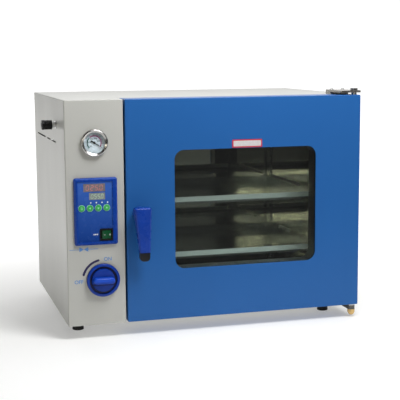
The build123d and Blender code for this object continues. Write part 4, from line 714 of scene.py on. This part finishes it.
# ------------------------------------------------------------------ screws and ribs
def make_screw_recesses():
    """The cross recesses in the heads of the screws in the back panel and the hinge plate."""
    heads = {"back": [], "top": []}
    rearmost = Spot("case_screws").high.y
    for middle, high in screw_heads():
        if high.y > rearmost - MM:
            heads["back"].append((middle.x, high.y, middle.z))
        else:
            heads["top"].append((middle.x, middle.y, high.z))
    size = (3.4 * MM, 0.8 * MM, 0.3 * MM)
    for side, turn in (("back", (-math.pi / 2, 0.0, 0.0)), ("top", (0.0, 0.0, 0.4))):
        mesh = grown(RECESS, INKS["black"], heads[side], Bar_Size=size, Facing=turn)
        made_piece(f"screw_recesses_{side}", mesh, INKS["black"], "cabinet", "bright_steel")


def screw_heads():
    """The middle and the high corner of each screw in the CAD node that holds them all."""
    build = bmesh.new()
    build.from_mesh(nodes["case_screws"].data)
    bmesh.ops.remove_doubles(build, verts=build.verts, dist=0.001 * MM)
    seen = set()
    for first in build.verts:
        if first in seen:
            continue
        seen.add(first)
        screw, waiting = [], [first]
        while waiting:
            vert = waiting.pop()
            screw.append(vert.co)
            for link in vert.link_edges:
                other = link.other_vert(vert)
                if other not in seen:
                    seen.add(other)
                    waiting.append(other)
        low = Vector(min(place[axis] for place in screw) for axis in range(3))
        high = Vector(max(place[axis] for place in screw) for axis in range(3))
        yield (low + high) / 2, high
    build.free()


def make_vent_knob():
    """The knurled vent knob: a turned core on a bright stem, with ribs round it."""
    knob = Spot("vent_knob")
    face = facing((-1, 0, 0), (knob.low.x, knob.middle.y, knob.middle.z))
    black = FINISHES["black_plastic"]
    radius = knob.size.z / 2
    core = radius - 1.5 * MM
    length = 24 * MM
    rib_start = 6.2 * MM
    rib_length = length - 6.8 * MM
    rib = (1.7 * MM, 1.1 * MM, rib_length)
    profile = [
        (0.0, -1.2 * MM), (radius * 0.45, -1.2 * MM), (radius * 0.5, -0.4 * MM),
        (radius - 1.2 * MM, 0.0), (radius, -1.2 * MM), (radius, -5.4 * MM),
        (core + 0.6 * MM, -rib_start), (core, -6.6 * MM), (core, -length + 0.8 * MM),
        (core - 0.8 * MM, -length), (0.0, -length),
    ]
    turned = placed(lathe(profile, 48), face)
    core_piece = drawn("vent_knob_core", [turned], black, "vent_screw", "black_plastic", 40)
    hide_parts("vent_knob")
    grown_ring("vent_knob_ribs", face, black, "vent_screw", "black_plastic", 30, 0, 12, core, rib,
               -rib_start - rib_length / 2)
    foot, top = -knob.size.x, -length + MM
    rod = placed(lathe([(0.0, foot), (3 * MM, foot), (3 * MM, top), (0.0, top)], 32), face)
    drawn("vent_knob_stem", [rod], FINISHES["bright_steel"], "vent_screw", "black_plastic", 40)


# Each cap: its node, how many ribs, their length, and how far out they lie on its radius.
RIBBED_CAPS = (("cable_gland", 12, 9 * MM, 0.6688), ("fuse_holder", 20, 5 * MM, 0.98))


def make_cap_ribs():
    """The grip ribs round the cable gland's cap and the fuse holder's cap."""
    for node, count, length, reach in RIBBED_CAPS:
        cap = Spot(node)
        radius = min(cap.size.x, cap.size.z) / 2
        face = facing((0, 1, 0), (cap.middle.x, cap.high.y, cap.middle.z))
        grown_ring(f"{node}_ribs", face, FINISHES["black_plastic"], "cabinet", "black_plastic",
                   count, 0, 360 / count, radius * reach, (1.2 * MM, 1.3 * MM, length),
                   -length / 2 - 1.4 * MM)


# ------------------------------------------------------------------ controller
# The bars that each numeral lights, and each bar's place: across, up, and whether it is level.
SEGMENTS = {"0": "abcdef", "2": "abged", "5": "afgcd"}
SEGMENT_PLACES = {
    "a": (0, 0.5, True), "g": (0, 0, True), "d": (0, -0.5, True), "f": (-0.5, 0.25, False),
    "b": (0.5, 0.25, False), "e": (-0.5, -0.25, False), "c": (0.5, -0.25, False),
}
DIGIT_LEAN = 0.12


def digit(text, x, width, height, stroke):
    """One seven-bar digit, leaning a little."""
    for name in SEGMENTS[text]:
        across, up, level = SEGMENT_PLACES[name]
        length = (width if level else height / 2) - stroke * 1.3
        size = (length, stroke) if level else (stroke, length)
        corners, faces = bar(across * width, up * height, *size, INK)
        yield [(x + cx + cy * DIGIT_LEAN, cy, cz) for cx, cy, cz in corners], faces


def make_display_digits():
    """The numerals on the two displays."""
    for node, text, ink, slot in (
        ("upper_display", "0250", "segment_red", "red_display"),
        ("lower_display", "0550", "segment_green", "green_display"),
    ):
        window = Spot(node)
        face = facing(FRONT, (window.middle.x, window.low.y - INK_GAP, window.middle.z))
        pitch = window.size.x * 0.21
        height = window.size.z * 0.62
        shapes = [disc(0.95 * pitch, -height / 2, pitch * 0.09, INK, 12)]
        for index, character in enumerate(text):
            shapes += digit(character, (index - 1.5) * pitch, pitch * 0.58, height, pitch * 0.13)
        printed(f"{node}_digits", [placed(shape, face) for shape in shapes], ink, "cabinet", slot)


# Each key: its node, its body, and the way its arrow points in degrees; the menu key has bars.
KEYS = (
    ("menu_key", "menu_button", None),
    ("left_key", "left_button", 180),
    ("down_key", "down_button", 270),
    ("up_key", "up_button", 90),
)


def make_key_marks():
    """The pale marks on the keys and the pale rings round them."""
    rings = []
    pocket_front = Spot("upper_display").low.y
    cap_radius = Spot("menu_key").size.x / 2 - 1.2 * MM
    reach = cap_radius * 0.38
    ring = full_ring(cap_radius + 0.4 * MM, cap_radius + 1.1 * MM, 0.5 * MM)
    for node, body, turn in KEYS:
        key = Spot(node)
        rings.append(placed(ring, facing(FRONT, (key.middle.x, pocket_front, key.middle.z))))
        if turn is None:
            shapes = [bar(0, up * reach, reach * 1.6, reach * 0.28, INK) for up in (-0.8, 0, 0.8)]
        else:
            shapes = [slab(list(round_points(reach, 3, turn)), INK)]
        top = facing(FRONT, (key.middle.x, key.low.y - INK_GAP, key.middle.z))
        printed(f"{node}_mark", [placed(shape, top) for shape in shapes], "pale_green", body,
                "green_plastic")
    drawn("key_rings", rings, INKS["pale_green"], "cabinet", "lamp_plastic", 30)


# The power switch's rocker: its tilt in degrees, the slope of its two halves, and how far in
# front of its joint the marks on them lie.
ROCKER_TILT, ROCKER_SLOPE, ROCKER_DEPTH = 10, 0.14, 8.35 * MM


def make_switch_marks():
    """The bar and the ring on the two halves of the power switch."""
    joint = next(j for j in record["behaviour"]["joints"] if j["name"] == "power_switch")
    half = Spot("power_rocker").size.x * 0.27
    tilt = Matrix.Rotation(math.radians(ROCKER_TILT), 4, "Z")
    hub = Matrix.Translation(joint["pos_m"]) @ tilt
    shapes = []
    for side, mark in (
        (-1, bar(0, 0, 3.6 * MM, 0.8 * MM, INK)), (1, full_ring(1.1 * MM, 1.8 * MM, INK, 32)),
    ):
        slope = Vector((side * ROCKER_SLOPE, -1, 0)).normalized()
        shapes.append(placed(mark, hub @ facing(slope, (side * half, -ROCKER_DEPTH, 0))))
    printed("power_rocker_marks", shapes, "white", "rocker", "green_plastic")


# ------------------------------------------------------------------ control face print
def cad_front():
    """The front of the door, which the control face is in line with."""
    return Spot("door_skin").low.y


def make_panel_print():
    """The arc, the words and the valve symbol by the vacuum valve's knob."""
    knob = Spot("valve_knob")
    face = facing(FRONT, (knob.middle.x, cad_front() - INK_GAP, knob.middle.z))
    radius, half_width, ends = 45 * MM, 2.5 * MM, (102, 163)
    arc = [placed(arc_band(radius - half_width, radius + half_width, *ends, INK), face)]
    for end in ends:
        x, y = radius * math.cos(math.radians(end)), radius * math.sin(math.radians(end))
        arc.append(placed(disc(x, y, half_width + 0.1 * MM, 1.5 * INK), face))
    printed("valve_arc", arc, "navy", "cabinet", "grey_paint")
    marks = []
    for text, x, z in (("ON", 12 * MM, 46 * MM), ("OFF", -54 * MM, -3 * MM)):
        spot = face @ Matrix.Translation((x, z, 0))
        marks.append(placed(lettering(text, 11.5 * MM, INK), spot))
    symbol = face @ Matrix.Translation((-41.5 * MM, 70.5 * MM, 0))
    for side in (-1, 1):
        wing = [(0, 0), (side * 10 * MM, side * 5.5 * MM), (side * 10 * MM, side * -5.5 * MM)]
        marks.append(placed(slab(wing, INK), symbol))
        marks.append(placed(bar(side * 21 * MM, 0, 22 * MM, 1.2 * MM, INK), symbol))
    printed("valve_marks", marks, "sky", "cabinet", "grey_paint")


def make_switch_note():
    """A short white mark printed on the controller, left of its switch."""
    switch = Spot("switch_frame")
    face = facing(FRONT, (switch.low.x - 9.5 * MM, switch.low.y + 1.8 * MM - INK_GAP,
                          switch.middle.z + MM))
    shapes = [
        placed(bar(x * MM, 0, width * MM, 2.6 * MM, INK), face)
        for x, width in ((-3.4, 2.6), (0.2, 3.4), (4.0, 2.6))
    ]
    printed("switch_note", shapes, "white", "cabinet", "blue_plastic")


def make_label_plate():
    """A bare white plate with a red border, over the window."""
    door = Spot("door_skin")
    face = facing(FRONT, (door.middle.x + 1.4 * MM, cad_front(), door.low.z + 397.3 * MM))
    border = placed(slab(round_box(72 * MM, 18.4 * MM, 1.5 * MM), 0.7 * MM), face)
    printed("label_border", [border], "red", "door", "blue_paint")
    lift = face @ Matrix.Translation((0, 0, 0.6 * MM))
    plate = placed(slab(round_box(66 * MM, 12.8 * MM, 1.0 * MM), 0.35 * MM), lift)
    printed("label_plate", [plate], "plate", "door", "dial_white")


# ------------------------------------------------------------------ finish of the CAD nodes
def special_finishes():
    """The nodes whose finish differs from the rest of their slot."""
    pocket = Spot("upper_display").low.y - POCKET_STEP
    controller = Spot("controller_bezel")
    special = {
        "power_rocker": moulded("dark green plastic", (0.003, 0.075, 0.026), (0.002, 0.055, 0.018),
                                0.22, 0.4),
        "gauge_bezel": plated("gauge chrome", (0.5, 0.49, 0.48), 0.2),
        "upper_hinge_plate": sheet_metal("hinge plate steel", (0.66, 0.64, 0.6), (0.5, 0.48, 0.45),
                                         0.3, SHORT_BRUSH),
        # The knob's colours: its own blue, a lighter blue for the painted highlight on the grip,
        # and a near-black for the painted shade.
        "valve_knob": skirted("knob blue", (0.004, 0.038, 0.31), (0.012, 0.07, 0.5),
                              (0.001, 0.005, 0.045), Spot("valve_knob")),
        "controller_bezel": membrane("controller blue", (0.04, 0.12, 0.46), (0.003, 0.034, 0.21),
                                     (0.006, 0.045, 0.3), pocket,
                                     (controller.low.z, controller.high.z)),
        "vacuum_chamber": mirror_steel("chamber steel", (0.56, 0.55, 0.48), (0.46, 0.45, 0.38),
                                       0.025),
        "door_inner_plate": sheet_metal("door lining", (0.06, 0.06, 0.055), (0.03, 0.03, 0.03),
                                        0.35, LONG_BRUSH),
        "lever_spindle": sheet_metal("lever steel", (0.05, 0.05, 0.055), (0.02, 0.02, 0.022), 0.35,
                                     SHORT_BRUSH),
        "shelf_racks": sheet_metal("rack steel", (0.1, 0.1, 0.09), (0.06, 0.06, 0.05), 0.25,
                                   LONG_BRUSH),
    }
    # Each shelf: a bright tone for the painted highlight on its front edge, and a dark tone for
    # the rest.
    for name in ("lower_shelf", "upper_shelf"):
        shelf = Spot(name)
        special[name] = brushed_shelf(name.replace("_", " "), (0.86, 0.95, 0.96), (0.2, 0.21, 0.2),
                                      shelf.low.y, shelf.low.z + 5 * MM)
    return special


def dress_nodes():
    """Gives every CAD node its finish."""
    slots = {entry["node"]: entry["material_slot"] for entry in record["subparts"]}
    special = special_finishes()
    for name, piece in nodes.items():
        for holder in piece.material_slots:
            holder.material = special.get(name, FINISHES[slots[name]])


# ------------------------------------------------------------------ stage, light and camera
# The floor's edges in metres. It starts far enough forward for the oven's shadow, and not so
# far that the window and the chamber mirror it.
FLOOR_SIDE, FLOOR_FRONT, FLOOR_BACK = 9.0, -0.92, 12.0


def make_stage():
    """A pale floor whose own light washes out the shadow away from the oven."""
    mesh = bpy.data.meshes.new("floor")
    corners = [(x, y, 0) for x, y in (
        (-FLOOR_SIDE, FLOOR_FRONT), (FLOOR_SIDE, FLOOR_FRONT), (FLOOR_SIDE, FLOOR_BACK),
        (-FLOOR_SIDE, FLOOR_BACK),
    )]
    mesh.from_pydata(corners, [], [(0, 1, 2, 3)])
    floor = bpy.data.objects.new("floor", mesh)
    bpy.context.collection.objects.link(floor)
    f = Finish("studio floor")
    f.set(Roughness=0.8, Emission_Color=(1.0, 1.0, 1.0, 1.0))
    x, y, _ = f.axes(f.place)
    ahead = f.reckon("ADD", y, 0.5)
    squares = f.reckon("ADD", f.reckon("MULTIPLY", ahead, ahead), f.reckon("MULTIPLY", x, x))
    away = f.reckon("SQRT", squares)
    f.join(f.span(away, 0.3, 1.0, 0.6, 1.8), f.shader.inputs["Emission Strength"])
    tone = f.cloudy((0.68, 0.68, 0.67), (0.72, 0.72, 0.71), 1.5)
    mesh.materials.append(f.finish(tone, None, f.bump(f.noise(60.0), 0.2 * MM, 0.3)))


# The pale curtain's two strips, each from one height to another on a ball round the oven.
CURTAIN_STRIPS = ((0.082, 0.116), (0.142, 0.172))
CURTAIN_GLOW = 7.0


def make_world():
    """A white backdrop behind the oven, a dim room before it and a pale curtain on its left."""
    world = bpy.data.worlds.new("studio")
    bpy.context.scene.world = world
    world.use_nodes = True
    w = Tree(world.node_tree)
    x, y, z = w.axes(w.node("ShaderNodeTexCoord").outputs["Generated"])
    room = w.reckon("ADD", w.span(y, 0.1, 0.84, -0.1, 0.5), w.span(y, 0.0, 0.3, 0.8, 0.93))
    shaded = w.reckon("MULTIPLY", room, w.span(x, 0.15, 1.0, -0.5, 0.05))
    surround = w.reckon("MAXIMUM", shaded, w.span(z, 1.0, 0.0, -0.42, -0.34))
    strips = w.reckon("ADD", *(
        w.band(z, (start - 0.002, start + 0.002), (end - 0.002, end + 0.002))
        for start, end in CURTAIN_STRIPS
    ))
    front_left = w.reckon("MULTIPLY", w.span(x, 1.0, 0.0, -0.16, -0.06),
                       w.span(y, 1.0, 0.0, -0.4, -0.2))
    curtain = w.reckon("MULTIPLY", front_left, strips)
    background = w.tree.nodes["Background"]
    w.join(w.blend(curtain, (1.0, 1.0, 0.99), (1.0, 0.95, 0.79)), background.inputs["Color"])
    glow = w.reckon("MULTIPLY", curtain, CURTAIN_GLOW)
    w.join(w.reckon("ADD", surround, glow), background.inputs["Strength"])


# Each lamp: its place, its size, its power and the place it is aimed at.
LAMPS = (
    ("key", (1.0, -1.35, 1.95), 0.9, 17.0, (0.0, -0.2, 0.35)),
    ("front", (0.15, -0.85, 1.4), 0.5, 13.5, (0.0, -0.25, 0.5)),
    ("overhead", (0.0, -0.2, 1.9), 1.0, 6.0, (0.0, 0.0, 0.4)),
)


def make_lamps():
    """Square lamps, which give soft shadows."""
    for name, place, size, power, aim in LAMPS:
        lamp = bpy.data.lights.new(name, "AREA")
        lamp.size = size
        lamp.energy = power
        holder = bpy.data.objects.new(name, lamp)
        holder.location = place
        holder.rotation_euler = (Vector(aim) - Vector(place)).to_track_quat("-Z", "Y").to_euler()
        bpy.context.collection.objects.link(holder)


def make_camera():
    """A camera turned right by its yaw, down by its pitch and over by its roll."""
    yaw, pitch, roll = (math.radians(a) for a in (CAMERA_YAW, CAMERA_PITCH, CAMERA_ROLL))
    ahead = Vector((math.sin(yaw) * math.cos(pitch), math.cos(yaw) * math.cos(pitch),
                    -math.sin(pitch)))
    level = Vector((math.cos(yaw), -math.sin(yaw), 0))
    down = ahead.cross(level)
    across = math.cos(roll) * level + math.sin(roll) * down
    up = math.sin(roll) * level - math.cos(roll) * down
    turn = Matrix((across, up, -ahead)).transposed().to_4x4()
    data = bpy.data.cameras.new("camera")
    data.sensor_width = SENSOR
    data.lens = LENS
    camera = bpy.data.objects.new("camera", data)
    camera.matrix_world = Matrix.Translation(CAMERA_PLACE) @ turn
    bpy.context.collection.objects.link(camera)
    bpy.context.scene.camera = camera
    bpy.context.scene.view_settings.view_transform = "Standard"


dress_nodes()
make_gauge_print()
make_screw_recesses()
make_vent_knob()
make_cap_ribs()
make_display_digits()
make_key_marks()
make_switch_marks()
make_panel_print()
make_switch_note()
make_label_plate()
make_stage()
make_world()
make_lamps()
make_camera()
